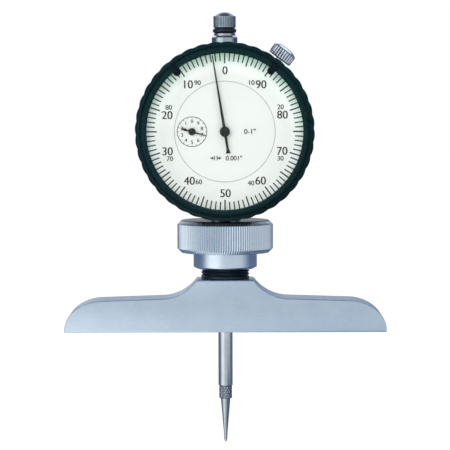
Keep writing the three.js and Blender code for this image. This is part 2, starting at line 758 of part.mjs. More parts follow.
// Return spring: an unbroken wire wound round its axis between the post and the arm
function makeReturnSpring() {
  const foot = springPostHeight + springPin / 2 + turningFit;
  const top = springArmHeight - springPin / 2 - turningFit;
  const path = new THREE.Curve();
  const coilRadius = (springCoil - springWire) / 2;
  path.getPoint = (t, target = new THREE.Vector3()) => {
    const angle = 2 * Math.PI * springTurns * t;
    const rise = (top - foot - springWire) * t;
    return target.set(
      springOffset + coilRadius * Math.cos(angle),
      coilRadius * Math.sin(angle),
      foot + springWire / 2 + rise,
    );
  };
  const wire = ring(springWire / 2, 4);
  const spring = new THREE.ExtrudeGeometry(outline(wire), { steps: springTurns * 6, extrudePath: path });
  addPiece(head, 'return_spring', spring, groundSteel());
  const postTip = springCoil / 2 + turningFit;
  const post = rod(springPin, plateFront, postTip, springOffset, springPostHeight, sides.tiny);
  addPiece(head, 'spring_post', post, blueSteel());
}

// Gear train. A tooth of one wheel meets a gap of the next on the line between their axes.
function meshPhase(from, to, teethFrom, teethTo, phaseFrom) {
  const line = Math.atan2(to.z - from.z, to.x - from.x);
  const place = ((line - phaseFrom) * teethFrom) / (2 * Math.PI);
  return line + Math.PI + ((place - 0.5) * 2 * Math.PI) / teethTo;
}

const centreAxis = { x: 0, z: 0 };
const pinionPhase = meshPhase(rackAxis, centreAxis, gearTeeth, pinionTeeth, 0);
const counterPhase = meshPhase(centreAxis, counterAxis, pinionTeeth, gearTeeth, pinionPhase);
const pointerFace = dialFace - pointerLift;
const arborNose = pointerFace - handThickness - hubThickness / 2;

function largeGear(front, phase) {
  const root = gearPitch - gearDedendumShare * gearModule;
  const teeth = gearOutline(gearTeeth, gearTip, root, gearTipShare, 0, phase);
  const hole = ring(arborHole / 2, sides.tiny).reverse();
  return plate(outline(teeth, [hole]), front, front + gearWidth);
}

function makeRackGear() {
  const half = rackPinionWidth / 2;
  const root = rackPitch - rackDedendum;
  const teeth = gearOutline(rackTeeth, rackTip, root, rackWheelTipShare, rackWheelRootShare, 0);
  const arbor = rod(arborDiameter, floorBack - caseFloor / 2 + turningFit, bridgeBack, 0, 0, sides.tiny);
  addPiece(rackGroup, 'rack_pinion', join(plate(outline(teeth), -half, half), arbor), groundSteel());
  addPiece(rackGroup, 'rack_gear', largeGear(rackGearFront, 0), brass());
}

function makeCentrePinion() {
  const root = pinionPitch - pinionDedendumShare * gearModule;
  const teeth = gearOutline(pinionTeeth, pinionTip, root, pinionTipShare, pinionRootShare, pinionPhase);
  const front = counterGearFront - turningFit;
  const back = rackGearFront + gearWidth + turningFit;
  const arbor = rod(arborDiameter, arborNose, plateBack - turningFit, 0, 0, sides.tiny);
  addPiece(pointerGroup, 'centre_pinion', join(plate(outline(teeth), front, back), arbor), groundSteel());
}

function makeCounter() {
  addPiece(counterGroup, 'counter_gear', largeGear(counterGearFront, counterPhase), brass());
  const radius = arborDiameter / 2;
  const hub = hairspringInner - hairspringStrip / 2 - turningFit;
  const springBack = plateFront - hairspringGap;
  const springFront = springBack - hairspringWidth;
  const nose = dialFace - counterLift - handThickness - counterHubThickness / 2;
  addPiece(counterGroup, 'counter_arbor', turned([
    [0, nose], [radius, nose], [radius, springFront], [hub, springFront], [hub, springBack],
    [radius, springBack], [radius, plateBack - turningFit], [0, plateBack - turningFit],
  ], sides.tiny), groundSteel());

  const strip = [];
  const steps = Math.round(hairspringTurns * 12);
  const rail = (side) => {
    for (let i = 0; i <= steps; i += 1) {
      const t = side > 0 ? i / steps : 1 - i / steps;
      const angle = 2 * Math.PI * hairspringTurns * t;
      const middle = hairspringInner + (hairspringOuter - hairspringInner) * t;
      const edge = middle + (side * hairspringStrip) / 2;
      strip.push(new THREE.Vector2(edge * Math.cos(angle), edge * Math.sin(angle)));
    }
  };
  rail(1);
  rail(-1);
  addPiece(counterGroup, 'hairspring', plate(outline(strip), springFront, springBack), blueSteel());
  const studPlace = counterAxis.x + hairspringOuter + hairspringStrip + springPin / 2 + turningFit;
  const stud = rod(springPin, springFront, plateFront, studPlace, counterAxis.z, sides.tiny);
  addPiece(head, 'hairspring_stud', stud, brass());
}

// Hands: thin blades on a hub, drawn upright and then turned to their reading
function blade(points, hub, bore) {
  const shape = outline(points.map(([x, z]) => new THREE.Vector2(x, z)));
  const disc = outline(ring(hub, sides.small));
  const hand = join(plate(shape, -handThickness, 0), plate(disc, -handThickness, 0));
  return cut(hand, rod(2 * bore, -handThickness * 2, handThickness, 0, 0, sides.tiny));
}

function hubCap(diameter, face, thickness, nose) {
  const radius = diameter / 2;
  const bore = arborHole / 2;
  const ceiling = nose - turningFit / 2;
  return turned([
    [0, face - thickness], [radius - handThickness, face - thickness], [radius, face - thickness / 2],
    [radius, face], [bore, face], [bore, ceiling], [0, ceiling],
  ], sides.small);
}

function makeHands() {
  const turn = THREE.MathUtils.degToRad(pointerReading);
  const long = blade([
    [pointerWidth / 2, 0], [pointerTip / 2, pointerLength], [-pointerTip / 2, pointerLength],
    [-pointerWidth / 2, 0], [-tailFlare / 2, -pointerTail], [tailFlare / 2, -pointerTail],
  ], hubDiameter / 2, arborHole / 2);
  addPiece(pointerGroup, 'pointer', long.translate(0, pointerFace, 0).rotateY(turn), blackOxide());
  const cap = hubCap(hubDiameter, pointerFace - handThickness, hubThickness, arborNose);
  addPiece(pointerGroup, 'pointer_hub', cap, blackOxide());

  const counterTurn = THREE.MathUtils.degToRad(counterReading);
  const slim = pointerTip / 2;
  const flare = counterTailFlare / 2;
  const short = blade([
    [slim, 0], [slim, counterHandLength], [-slim, counterHandLength], [-slim, 0],
    [-flare, -counterTailWaist], [0, -counterHandTail], [flare, -counterTailWaist],
  ], counterHubDiameter / 2, arborHole / 2);
  const counterFace = dialFace - counterLift;
  short.translate(0, counterFace, 0).rotateY(counterTurn);
  addPiece(counterGroup, 'counter_hand', short, blackOxide());
}

// Dial: the inner disc is fixed to the case floor and the outer ring turns with the bezel
function makeDials() {
  const inner = rod(2 * innerDialRadius, dialFace, dialBack, 0, 0, sides.large);
  const drill = ({ x, z }) => rod(dialHole, dialFace - caseFloor, dialBack + caseFloor, x, z, sides.tiny);
  addPiece(head, 'inner_dial', cut(inner, drill(centreAxis), drill(counterAxis)), dialWhite());
  const bore = innerDialRadius + turningFit;
  const back = dialBack - turningFit;
  addPiece(bezelGroup, 'outer_dial', turned([
    [bore, dialFace], [dialRadius, dialFace], [dialRadius, back], [bore, back],
  ], sides.huge), dialWhite());
}

function scallopOutline() {
  const points = [];
  const pitch = (2 * Math.PI) / scallops;
  const phase = THREE.MathUtils.degToRad(scallopPhase);
  const crown = scallopCrown / 2;
  for (let i = 0; i < scallops; i += 1) {
    const lobe = [[-crown, bezelRadius], [crown, bezelRadius], [0.5, bezelRadius - scallopDepth]];
    lobe.forEach(([share, radius]) => {
      const angle = phase + (i + share) * pitch;
      points.push(new THREE.Vector2(radius * Math.cos(angle), radius * Math.sin(angle)));
    });
  }
  return points;
}

function makeBezel() {
  const bore = caseRadius + turningFit * 2;
  const wireFloor = caseRadius + wireRoom + turningFit;
  const dialBore = dialRadius + turningFit;
  const lip = lipRadius;
  const lipBack = bezelNose + lipThickness;
  const ringEdge = frontRingRadius;
  const grooveEdge = ringEdge + grooveWidth;
  const neck = bezelRadius - scallopDepth;
  const step = floorFront - looseFit;
  const body = turned([
    [lip, bezelNose], [ringEdge, bezelNose], [ringEdge + turningFit, bezelNose + grooveDepth],
    [grooveEdge, bezelNose + grooveDepth], [grooveEdge + turningFit, bezelNose + bandSet],
    [neck, bezelNose + bandFront], [neck, bezelTail], [bore, bezelTail],
    [bore, wirePlane + wireRoom], [wireFloor, wirePlane + wireRoom], [wireFloor, wirePlane - wireRoom],
    [bore, wirePlane - wireRoom], [bore, step], [dialBore, step], [dialBore, lipBack], [lip, lipBack],
  ], sides.huge);
  const inside = ring(bore + wireRoom * 2, sides.small).reverse();
  const band = plate(outline(scallopOutline(), [inside]), bezelNose + bandFront, bezelTail);
  addPiece(bezelGroup, 'bezel', join(body, band), blackPaint());

  const crystalFront = lipBack + turningFit;
  const crystalBack = crystalFront + crystalThickness;
  const rim = dialRadius;
  addPiece(bezelGroup, 'crystal', turned([
    [0, crystalFront], [rim, crystalFront], [rim, crystalBack], [0, crystalBack],
  ], sides.large), acrylic());
  addPiece(bezelGroup, 'dial_spacer', turned([
    [rim - dialRingWall, crystalBack], [rim, crystalBack], [rim, dialFace], [rim - dialRingWall, dialFace],
  ], sides.large), blackPaint());

  const wireRing = ring(wireDiameter / 2, 5, caseRadius, wirePlane).map(({ x, y }) => [x, y]);
  const opening = new THREE.BoxGeometry(bezelRadius / 2, bezelRadius, bezelRadius);
  opening.translate(0, wirePlane, -caseRadius);
  addPiece(head, 'bezel_wire', cut(turned(wireRing, sides.large), opening), groundSteel());
}

// Limit hands: flat tabs over the front ring, hooked into the groove behind it
function makeLimitHands() {
  Object.entries(limitBearings).forEach(([name, bearing]) => {
    const half = limitWidth / 2;
    const face = bezelNose - turningFit;
    const hookFoot = frontRingRadius + hookFit;
    const hookTop = frontRingRadius + grooveWidth - hookFit;
    const tipCentre = lipRadius - limitOverhang + half;
    const tab = hull([
      { x: 0, z: tipCentre, radius: half },
      { x: half - turningFit, z: hookTop - turningFit, radius: turningFit },
      { x: turningFit - half, z: hookTop - turningFit, radius: turningFit },
    ], sides.small);
    const hook = new THREE.BoxGeometry(limitWidth - 2 * turningFit, grooveDepth, hookTop - hookFoot);
    hook.translate(0, face + grooveDepth / 2 - limitThickness / 2, (hookFoot + hookTop) / 2);
    const hand = join(plate(outline(tab), face - limitThickness, face), hook);
    addPiece(bezelGroup, name, hand.rotateY(THREE.MathUtils.degToRad(bearing)), blackOxide());
  });
}

// Bezel clamp: a block on a flat of the case, and a small knurled screw through it
function makeBezelClamp() {
  const seat = topSeat + turningFit;
  const half = clampBlockWidth / 2;
  const block = [[-half, blockFront], [half, blockFront], [half, blockBack], [-half, blockBack]];
  const hole = ring(clampShank / 2 + turningFit, sides.small, 0, -clampSetback).reverse();
  const shape = outline(block.map(([x, y]) => new THREE.Vector2(x, y)), [hole]);
  const body = prism(shape, seat, seat + clampBlockHeight).rotateY(clampTurn);
  addPiece(head, 'clamp_block', body, blackPaint());

  const knobFoot = bezelRadius + clampStandOff;
  const knobTop = knobFoot + clampKnobHeight;
  const plain = clampKnob / 2 - knurlDepth / 2;
  const core = turnedUpright([
    [0, seat + turningFit], [clampShank / 2, seat + turningFit], [clampShank / 2, knobFoot],
    [plain - looseFit, knobFoot], [plain, knobFoot + looseFit], [plain, knobTop - looseFit],
    [plain - looseFit, knobTop], [plain / 2, knobTop + 0.75 * clampKnobDome], [0, knobTop + clampKnobDome],
  ], sides.medium);
  const rim = outline(ridged(clampKnob / 2, plain, 2 * clampKnurls));
  const knurl = prism(rim, knobFoot + looseFit, knobTop - looseFit);
  const screw = join(core, knurl).translate(0, -clampSetback, 0).rotateY(clampTurn);
  addPiece(head, 'bezel_clamp_screw', screw, satinChrome());
}

makeBase();
makeBush();
makeCollet();
makeNut();
makeCase();
makeCover();
makeGuides();
makeMovementPlates();
makePillars();
makeGuidePlate();
makeSpindle();
makeContactPoint();
makeCap();
makeReturnSpring();
makeRackGear();
makeCentrePinion();
makeCounter();
makeHands();
makeDials();
makeBezel();
makeLimitHands();
makeBezelClamp();

export default gauge;
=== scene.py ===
"""Dial depth gauge: a steel bridge base, a knurled clamp nut and a dial head with a needle point.

The base's measuring face lies at height 0, the spindle runs up the Z axis and the dial faces -Y.
Sizes are written in millimetres and become metres where a mesh is made.
"""

import functools
import json
import math

import bmesh
import bpy
from mathutils import Matrix, Vector


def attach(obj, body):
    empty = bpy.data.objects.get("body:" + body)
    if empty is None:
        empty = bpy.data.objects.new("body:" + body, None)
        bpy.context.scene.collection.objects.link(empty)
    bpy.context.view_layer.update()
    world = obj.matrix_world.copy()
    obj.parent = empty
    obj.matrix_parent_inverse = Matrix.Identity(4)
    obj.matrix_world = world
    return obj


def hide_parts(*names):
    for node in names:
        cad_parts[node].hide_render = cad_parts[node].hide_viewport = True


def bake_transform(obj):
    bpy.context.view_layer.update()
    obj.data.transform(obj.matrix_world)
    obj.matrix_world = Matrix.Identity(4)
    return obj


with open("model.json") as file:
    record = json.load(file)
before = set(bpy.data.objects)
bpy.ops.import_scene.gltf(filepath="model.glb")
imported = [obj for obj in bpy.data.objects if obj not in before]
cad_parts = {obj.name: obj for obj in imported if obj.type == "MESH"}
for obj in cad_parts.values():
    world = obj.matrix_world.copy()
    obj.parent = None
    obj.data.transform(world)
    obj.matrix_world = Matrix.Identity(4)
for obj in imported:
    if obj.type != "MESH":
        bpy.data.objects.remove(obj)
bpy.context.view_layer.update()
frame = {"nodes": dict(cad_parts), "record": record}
scene = bpy.context.scene
MM = 0.001


def joint_at(name):
    """Where the frame puts a joint, in millimetres."""
    joints = {joint["name"]: joint for joint in frame["record"]["behaviour"]["joints"]}
    return [value / MM for value in joints[name]["pos_m"]]


def span(name, axis):
    """Where a CAD piece starts and ends along an axis, in millimetres."""
    piece = frame["nodes"][name]
    places = [(piece.matrix_world @ vertex.co)[axis] / MM for vertex in piece.data.vertices]
    return min(places), max(places)


# Heights up the spindle's axis
Y, Z = 1, 2
BASE_TOP = span("base", Z)[1]
NUT_FOOT, NUT_TOP = span("clamp_nut", Z)
NUT_HEAD = NUT_FOOT + 5.1  # above its plain collar
BUSH_FOOT, BUSH_TOP = span("collet_bush", Z)
STEM_FOOT, STEM_TOP = span("stem", Z)
DIAL_HEIGHT = joint_at("pointer_turn")[2]
NECK_FOOT, NECK_TOP = span("top_bush", Z)
SPINDLE_FOOT = span("spindle", Z)[0]
CAP_SEAT = span("lifting_cap", Z)[0]
NEEDLE_TIP = span("contact_point", Z)[0]
GRIP_FOOT = SPINDLE_FOOT - 4.25  # where the contact point's knurl ends
RACK_HEIGHT = joint_at("rack_turn")[2]

# Depths behind and in front of that axis: the dial's side is negative
BEZEL_NOSE, BEZEL_TAIL = span("bezel", Y)
CRYSTAL_FRONT, CRYSTAL_BACK = span("crystal", Y)
DIAL_FACE, DIAL_BACK = span("inner_dial", Y)
CASE_BACK = span("case", Y)[1]
COVER_BACK = span("back_cover", Y)[1]
CASE_FLOOR = DIAL_BACK + 1.2
BEZEL_WIRE = -11.175

# Radii and places on the head
FIT = 0.1  # gap round a piece that turns or slides in another
SPINDLE_RADIUS = 2.275
STEM_RADIUS = 4.7625
ARBOR_HOLE = 0.75
CASE_RADIUS = 25.2
CASE_INNER = 23.0
SEAT_RADIUS = 24.6  # flats for the top bush and the clamp lug
BEZEL_RADIUS = 27.95
RING_EDGE = 25.7
LIP_RADIUS = 24.6
DIAL_RADIUS = 24.9
INNER_DIAL_RADIUS = 15.57
COUNTER_X = joint_at("counter_turn")[0]
CLAMP_BEARING = 37
CLAMP_DEPTH = -5.5
PRINT = 0.02  # thickness of the ink
LETTER_WIDTH = 0.97  # narrower than the plain typeface

# Light of the studio: for matt surfaces, and as gloss sees it round the object
ROOM_GLOW = 0.3
FLANK_GLOW = (0.06, 0.11, 0.2)
FLOOR_SHARE = 0.9
# Each soft panel has a bearing, a half width, a soft edge and a brightness.
PANELS = ((-42, 12, 38, 1.45), (26, 28, 46, 0.78))
CEILING_SHARE = 0.1
BACKDROP_GLOW = 0.66
WHITE = (1, 1, 1)


# Small helpers for node trees


def node(tree, kind, inputs=None, **settings):
    """A new node, with each input given a value or linked to a socket."""
    made = tree.nodes.new(kind)
    for key, value in settings.items():
        setattr(made, key, value)
    for key, value in (inputs or {}).items():
        if isinstance(value, bpy.types.NodeSocket):
            tree.links.new(value, made.inputs[key])
        else:
            made.inputs[key].default_value = value
    return made


def add(tree, kind, inputs=None, **settings):
    """The first output of a new node."""
    return node(tree, kind, inputs, **settings).outputs[0]


def to_surface(tree, shader, output="Material Output"):
    tree.links.new(shader, tree.nodes[output].inputs["Surface"])


def maths(tree, operation, *values):
    return add(tree, "ShaderNodeMath", dict(enumerate(values)), operation=operation)


def smooth_step(tree, value, start, end, low, high):
    return add(tree, "ShaderNodeMapRange", {
        "Value": value, "From Min": start, "From Max": end, "To Min": low, "To Max": high,
    }, interpolation_type="SMOOTHSTEP")


def blend(tree, share, first, second, **settings):
    """One colour turned into another by a share. A colour is three numbers or a socket."""
    inputs = {0: share}
    for key, colour in ((6, first), (7, second)):
        inputs[key] = colour if isinstance(colour, bpy.types.NodeSocket) else (*colour, 1)
    return node(tree, "ShaderNodeMix", inputs, data_type="RGBA", **settings).outputs[2]


def own_place(tree):
    """X, Y and Z of a point on a piece."""
    spot = node(tree, "ShaderNodeTexCoord").outputs["Object"]
    return node(tree, "ShaderNodeSeparateXYZ", {0: spot}).outputs


def distance(tree, x, y):
    squares = [maths(tree, "MULTIPLY", side, side) for side in (x, y)]
    return maths(tree, "SQRT", maths(tree, "ADD", *squares))


# Finishes


def finish_base(name, colour, metallic, roughness, **sockets):
    """A material with these values on its shader's own sockets."""
    material = bpy.data.materials.new(name)
    material.use_nodes = True
    material.diffuse_color = (*colour, 1)
    tree = material.node_tree
    shader = tree.nodes["Principled BSDF"]
    sockets |= {"base_color": (*colour, 1), "metallic": metallic, "roughness": roughness}
    for key, value in sockets.items():
        socket = key.replace("_", " ").title().replace("Ior", "IOR")
        shader.inputs[socket].default_value = value
    return material, tree, shader


def noise(tree, size, stretch=(1, 1, 1), detail=3.0):
    """Noise whose grain is size millimetres wide, drawn out along an axis by a stretch over 1."""
    spot = node(tree, "ShaderNodeTexCoord").outputs["Object"]
    scale = tuple(1 / (size * MM * pull) for pull in stretch)
    mapped = add(tree, "ShaderNodeMapping", {"Vector": spot, "Scale": scale})
    return add(tree, "ShaderNodeTexNoise", {"Vector": mapped, "Scale": 1.0, "Detail": detail})


def spread(tree, value, low, high):
    """Draws the middle of a noise, where nearly all of it lies, out to a range."""
    return add(tree, "ShaderNodeMapRange", {
        "Value": value, "From Min": 0.3, "From Max": 0.7, "To Min": low, "To Max": high,
    })


def coloured(tree, shader, colour):
    tree.links.new(colour, shader.inputs["Base Color"])


def roughened(tree, shader, value, low, high):
    tree.links.new(spread(tree, value, low, high), shader.inputs["Roughness"])


def bumped(tree, shader, value, height, strength=0.4):
    bump = {"Height": value, "Distance": height * MM, "Strength": strength}
    tree.links.new(add(tree, "ShaderNodeBump", bump), shader.inputs["Normal"])


def clouded(tree, size, dark, light):
    return blend(tree, spread(tree, noise(tree, size), 0, 1), dark, light)


def dulled(tree, shader, colour, share, face_shade_height=None):
    """Painted shade: darkens a colour by a share at the bottom of each knurl groove, and on the end
    face at a height.
    """
    depth = node(tree, "ShaderNodeAttribute", attribute_name="groove").outputs["Fac"]
    painted_shade = maths(tree, "MULTIPLY", smooth_step(tree, depth, 0.2, 0.8, 0.0, 1.0), share)
    if face_shade_height:
        low, high = (face_shade_height - 0.5) * MM, (face_shade_height - 0.1) * MM
        face = smooth_step(tree, own_place(tree)[2], low, high, 0.0, 0.9)
        painted_shade = maths(tree, "MAXIMUM", painted_shade, face)
    # the colour of the painted shade
    coloured(tree, shader, blend(tree, painted_shade, colour, (0.01, 0.016, 0.028)))


def satin_chrome(name, dark, light, roughness, groove_shade=0.0, face_shade_height=None, lay=(1, 1, 1)):
    """Chrome with a faint cloud and a grain that runs along its lay."""
    material, tree, shader = finish_base(name, light, 0.95, roughness)
    grain = maths(tree, "SUBTRACT", noise(tree, 0.4, stretch=lay), 0.5)
    cloud = maths(tree, "ADD", noise(tree, 5), grain)
    colour = blend(tree, spread(tree, cloud, 0, 1), dark, light)
    # painted shade in the knurl, and on the end face at a height
    dulled(tree, shader, colour, groove_shade, face_shade_height)
    roughened(tree, shader, noise(tree, 0.5), roughness - 0.05, roughness + 0.05)
    bumped(tree, shader, noise(tree, 0.12, detail=2), 0.003)
    return material


def turned_steel(name, dark, light, roughness, groove_shade=0.0):
    """Steel with fine rings left by the lathe or the grinding wheel, along the Z axis."""
    material, tree, shader = finish_base(name, light, 1.0, roughness)
    rings = noise(tree, 0.1, stretch=(60, 60, 1), detail=2)
    # painted shade in the knurl
    dulled(tree, shader, clouded(tree, 6, dark, light), groove_shade)
    roughened(tree, shader, rings, roughness - 0.06, roughness + 0.08)
    bumped(tree, shader, rings, 0.003)
    return material


def blacked(name, dark, light, metallic, roughness, grain, height, gloss=0.12):
    """Paint, oxide, rubber or ink, with a grain of this size and height."""
    material, tree, shader = finish_base(
        name, light, metallic, roughness, specular_ior_level=gloss)
    coloured(tree, shader, clouded(tree, 5, dark, light))
    roughened(tree, shader, noise(tree, 1.5), roughness - 0.07, roughness + 0.07)
    bumped(tree, shader, noise(tree, grain), height, 0.6)
    return material


def dial_white():
    """White print ground, lighter towards the rim as painted light against the lip's shade, and
    tinted green there as painted shade and painted reflection of the bezel.
    """
    material, tree, shader = finish_base("dial white", (0.75, 0.755, 0.737), 0.0, 0.6)
    x, _, z = own_place(tree)
    middle = (DIAL_HEIGHT - 2) * MM  # a little low, so that the painted green shade is stronger on top
    reach = distance(tree, x, maths(tree, "SUBTRACT", z, middle))
    # painted shade and green reflection of the bezel towards the rim
    rim = smooth_step(tree, reach, 22 * MM, 27 * MM, 0.0, 1.0)
    # painted light: the ground gets lighter towards the rim, against the lip's shade
    low = smooth_step(tree, reach, 18.8 * MM, 22.4 * MM, 0.0, 1.0)
    ground = blend(tree, low, (0.74, 0.745, 0.73), (0.83, 0.85, 0.83))
    coloured(tree, shader, blend(tree, rim, ground, (0.42, 0.7, 0.55)))
    roughened(tree, shader, noise(tree, 0.8), 0.55, 0.68)
    bumped(tree, shader, noise(tree, 0.2), 0.002)
    return material


def acrylic():
    """Clear crystal that lets lamplight through to the dial."""
    material, tree, shader = finish_base(
        "acrylic", (0.97, 0.99, 0.98), 0.0, 0.02,
        transmission_weight=1.0, ior=1.3, specular_ior_level=0.0)
    open_to_light = add(tree, "ShaderNodeBsdfTransparent", {"Color": (0.95, 0.98, 0.96, 1)})
    shadow_ray = node(tree, "ShaderNodeLightPath").outputs["Is Shadow Ray"]
    mix = {0: shadow_ray, 1: shader.outputs[0], 2: open_to_light}
    to_surface(tree, add(tree, "ShaderNodeMixShader", mix))
    return material


# Dark and light colour, roughness, painted shade at the bottom of each knurl groove, height of an
# end face that gets painted shade, lay
CHROMES = {
    "satin_chrome": ((0.5, 0.6, 0.7), (0.54, 0.64, 0.73), 0.3),
    # the nut: painted shade on its top face, for the dark bezel that overhangs it
    "knurled_chrome": ((0.6, 0.7, 0.8), (0.64, 0.74, 0.84), 0.3, 0.66, NUT_TOP),
    "knob_chrome": ((0.7, 0.78, 0.86), (0.78, 0.86, 0.94), 0.22, 0.8),
    "lapped_chrome": ((0.57, 0.688, 0.815), (0.62, 0.738, 0.858), 0.46, 0.0, None, (4, 4, 1)),
    # darker than the other chromes: painted shade, for the dim light the cap reflects
    "shaded_cap_chrome": ((0.33, 0.41, 0.47), (0.38, 0.47, 0.53), 0.36, 0.8),
    "bright_chrome": ((0.4, 0.46, 0.51), (0.44, 0.5, 0.55), 0.2),
}
# Dark and light colour, roughness, painted shade at the bottom of each knurl groove
STEELS = {
    "ground_steel": ((0.47, 0.52, 0.55), (0.58, 0.62, 0.65), 0.18),
    "needle_steel": ((0.38, 0.44, 0.48), (0.46, 0.52, 0.56), 0.14, 0.58),
    "brass": ((0.5, 0.35, 0.13), (0.6, 0.44, 0.19), 0.33),
    "blue_steel": ((0.05, 0.07, 0.14), (0.09, 0.12, 0.22), 0.3),
}
# Dark and light colour, metallic, roughness, size and height of the grain, gloss
BLACKS = {
    "black_oxide": ((0.006, 0.012, 0.014), (0.012, 0.022, 0.026), 0.3, 0.42, 0.3, 0.004),
    "thread_oxide": ((0.005, 0.018, 0.027), (0.008, 0.024, 0.034), 0.2, 0.35, 0.3, 0.004, 0.45),
    "black_paint": ((0.004, 0.038, 0.044), (0.007, 0.05, 0.057), 0.0, 0.3, 0.5, 0.006),
    "tab_paint": ((0.002, 0.009, 0.016), (0.003, 0.014, 0.024), 0.0, 0.35, 0.4, 0.004),
    "hand_black": ((0.002, 0.005, 0.006), (0.004, 0.008, 0.01), 0.0, 0.4, 0.3, 0.002, 0.03),
    "ink": ((0.004, 0.007, 0.007), (0.007, 0.01, 0.01), 0.0, 0.6, 0.2, 0.001, 0.02),
    "faint_line": ((0.6, 0.68, 0.64), (0.64, 0.72, 0.68), 0.0, 0.6, 0.2, 0.001, 0.02),
    "rubber": ((0.007, 0.015, 0.03), (0.011, 0.022, 0.045), 0.0, 0.34, 0.15, 0.01, 0.6),
}
FINISHES = {"dial_white": dial_white(), "crystal": acrylic()}
for maker, kinds in ((satin_chrome, CHROMES), (turned_steel, STEELS), (blacked, BLACKS)):
    for finish, values in kinds.items():
        FINISHES[finish] = maker(finish.replace("_", " "), *values)


# Meshes


def piece_from(name, mesh, finish):
    """An object at the origin with this mesh and finish."""
    piece = bpy.data.objects.new(name, mesh)
    scene.collection.objects.link(piece)
    mesh.materials.clear()
    mesh.materials.append(FINISHES[finish])
    return piece


def smoothed(piece, degrees=32):
    piece.data.shade_smooth()
    piece.data.set_sharp_from_angle(angle=math.radians(degrees))
    return piece


def mesh_from(name, body):
    mesh = bpy.data.meshes.new(name)
    body.to_mesh(mesh)
    body.free()
    return mesh


def outward(body):
    bmesh.ops.recalc_face_normals(body, faces=body.faces)
    return body


def settle(piece):
    """Turns what the piece's modifiers make into its plain mesh."""
    shown = piece.evaluated_get(bpy.context.evaluated_depsgraph_get())
    made = bpy.data.meshes.new_from_object(shown)
    piece.modifiers.clear()
    piece.data = made
    return piece


def eased(points, closed):
    """A profile of (radius, station) points, where a third number rounds that corner."""
    arc_steps = 5
    curve = []
    count = len(points)
    for i, point in enumerate(points):
        here = Vector(point[:2])
        inside = closed or 0 < i < count - 1
        if len(point) < 3 or not inside:
            curve.append(here)
            continue
        before = Vector(points[i - 1][:2]) - here
        after = Vector(points[(i + 1) % count][:2]) - here
        half = before.angle(after) / 2
        reach = min(point[2] / math.tan(half), 0.49 * before.length, 0.49 * after.length)
        first = here + before.normalized() * reach
        last = here + after.normalized() * reach
        for step in range(arc_steps + 1):
            t = step / arc_steps
            curve.append(first * (1 - t) ** 2 + here * 2 * t * (1 - t) + last * t * t)
    return curve


def stations(radius, foot, top, count):
    """Points at even heights, for a length that gets a knurl or a thread."""
    return [(radius, foot + (top - foot) * i / count) for i in range(1, count)]


def lathe(name, points, finish, steps=96):
    """A closed turned body round the Z axis. A profile ends on the axis twice, or is a loop."""
    closed = points[0][0] > 0
    body = bmesh.new()
    rings = []
    for point in eased(points, closed):
        if point.x < 1e-6:
            rings.append([body.verts.new((0, 0, point.y * MM))])
            continue
        turns = [2 * math.pi * i / steps for i in range(steps)]
        rings.append([body.verts.new((
            point.x * MM * math.cos(turn), point.x * MM * math.sin(turn), point.y * MM,
        )) for turn in turns])
    pairs = list(zip(rings, rings[1:] + rings[:1])) if closed else list(zip(rings, rings[1:]))
    for low, high in pairs:
        for i in range(steps):
            j = (i + 1) % steps
            corners = [ring[k % len(ring)] for ring, k in (
                (low, i), (low, j), (high, j), (high, i))]
            corners = [c for k, c in enumerate(corners) if c not in corners[:k]]
            if len(corners) > 2:
                body.faces.new(corners)
    return smoothed(piece_from(name, mesh_from(name, outward(body)), finish))


def slab(name, outline, front, back, finish, bevel=0.0, steps=3):
    """A flat piece cut to an outline in X and Z, between two depths, with its edges broken."""
    body = bmesh.new()
    near = [body.verts.new((x * MM, front * MM, z * MM)) for x, z in outline]
    far = [body.verts.new((x * MM, back * MM, z * MM)) for x, z in outline]
    body.faces.new(near)
    body.faces.new(far)
    for i in range(len(outline)):
        j = (i + 1) % len(outline)
        body.faces.new([near[i], near[j], far[j], far[i]])
    piece = piece_from(name, mesh_from(name, outward(body)), finish)
    if bevel:
        edge = piece.modifiers.new("broken edges", "BEVEL")
        edge.width = bevel * MM
        edge.segments = steps
        edge.limit_method = "ANGLE"
        edge.angle_limit = math.radians(40)
        settle(piece)
    return smoothed(piece)


def box(left, low, right, high):
    """The four corners of a rectangle, for a slab."""
    return [(left, low), (right, low), (right, high), (left, high)]


def combine(piece, other, operation="DIFFERENCE"):
    """Cuts another piece away from this one, or joins it to it."""
    change = piece.modifiers.new(operation, "BOOLEAN")
    change.operation = operation
    change.solver = "EXACT"
    change.object = other
    settle(piece)
    bpy.data.objects.remove(other)
    return smoothed(piece)


def place(piece, matrix):
    """Moves a piece's mesh, so that its object stays at the origin."""
    piece.data.transform(matrix)
    if matrix.determinant() < 0:
        piece.data.flip_normals()
    return piece


def drilled(piece, radius, foot, top, where=Matrix(), steps=48):
    """Bores a round hole, up the Z axis or where that axis is moved to."""
    bore = lathe("bore", [(0, foot), (radius, foot), (radius, top), (0, top)], "ink", steps)
    return combine(piece, place(bore, where))


def gathered(name, pieces, finish):
    """One piece out of several that lie apart."""
    body = bmesh.new()
    for piece in pieces:
        body.from_mesh(piece.data)
        bpy.data.objects.remove(piece)
    return piece_from(name, mesh_from(name, body), finish)


def disc_outline(radius, x=0.0, z=0.0, count=48, start=0.0, sweep=360.0):
    steps = count if sweep == 360 else count - 1
    angles = [math.radians(start + sweep * i / steps) for i in range(count)]
    return [(x + radius * math.cos(a), z + radius * math.sin(a)) for a in angles]


def shifted(x, y, z):
    """A move of so many millimetres."""
    return Matrix.Translation((x * MM, y * MM, z * MM))


UP_THE_HEAD = shifted(0, 0, DIAL_HEIGHT)
TOWARDS_BACK = Matrix.Rotation(-math.pi / 2, 4, "X")  # a turned piece's Z becomes the depth
ON_DIAL_AXIS = UP_THE_HEAD @ TOWARDS_BACK
AT_COUNTER = shifted(COUNTER_X, 0, 0) @ ON_DIAL_AXIS


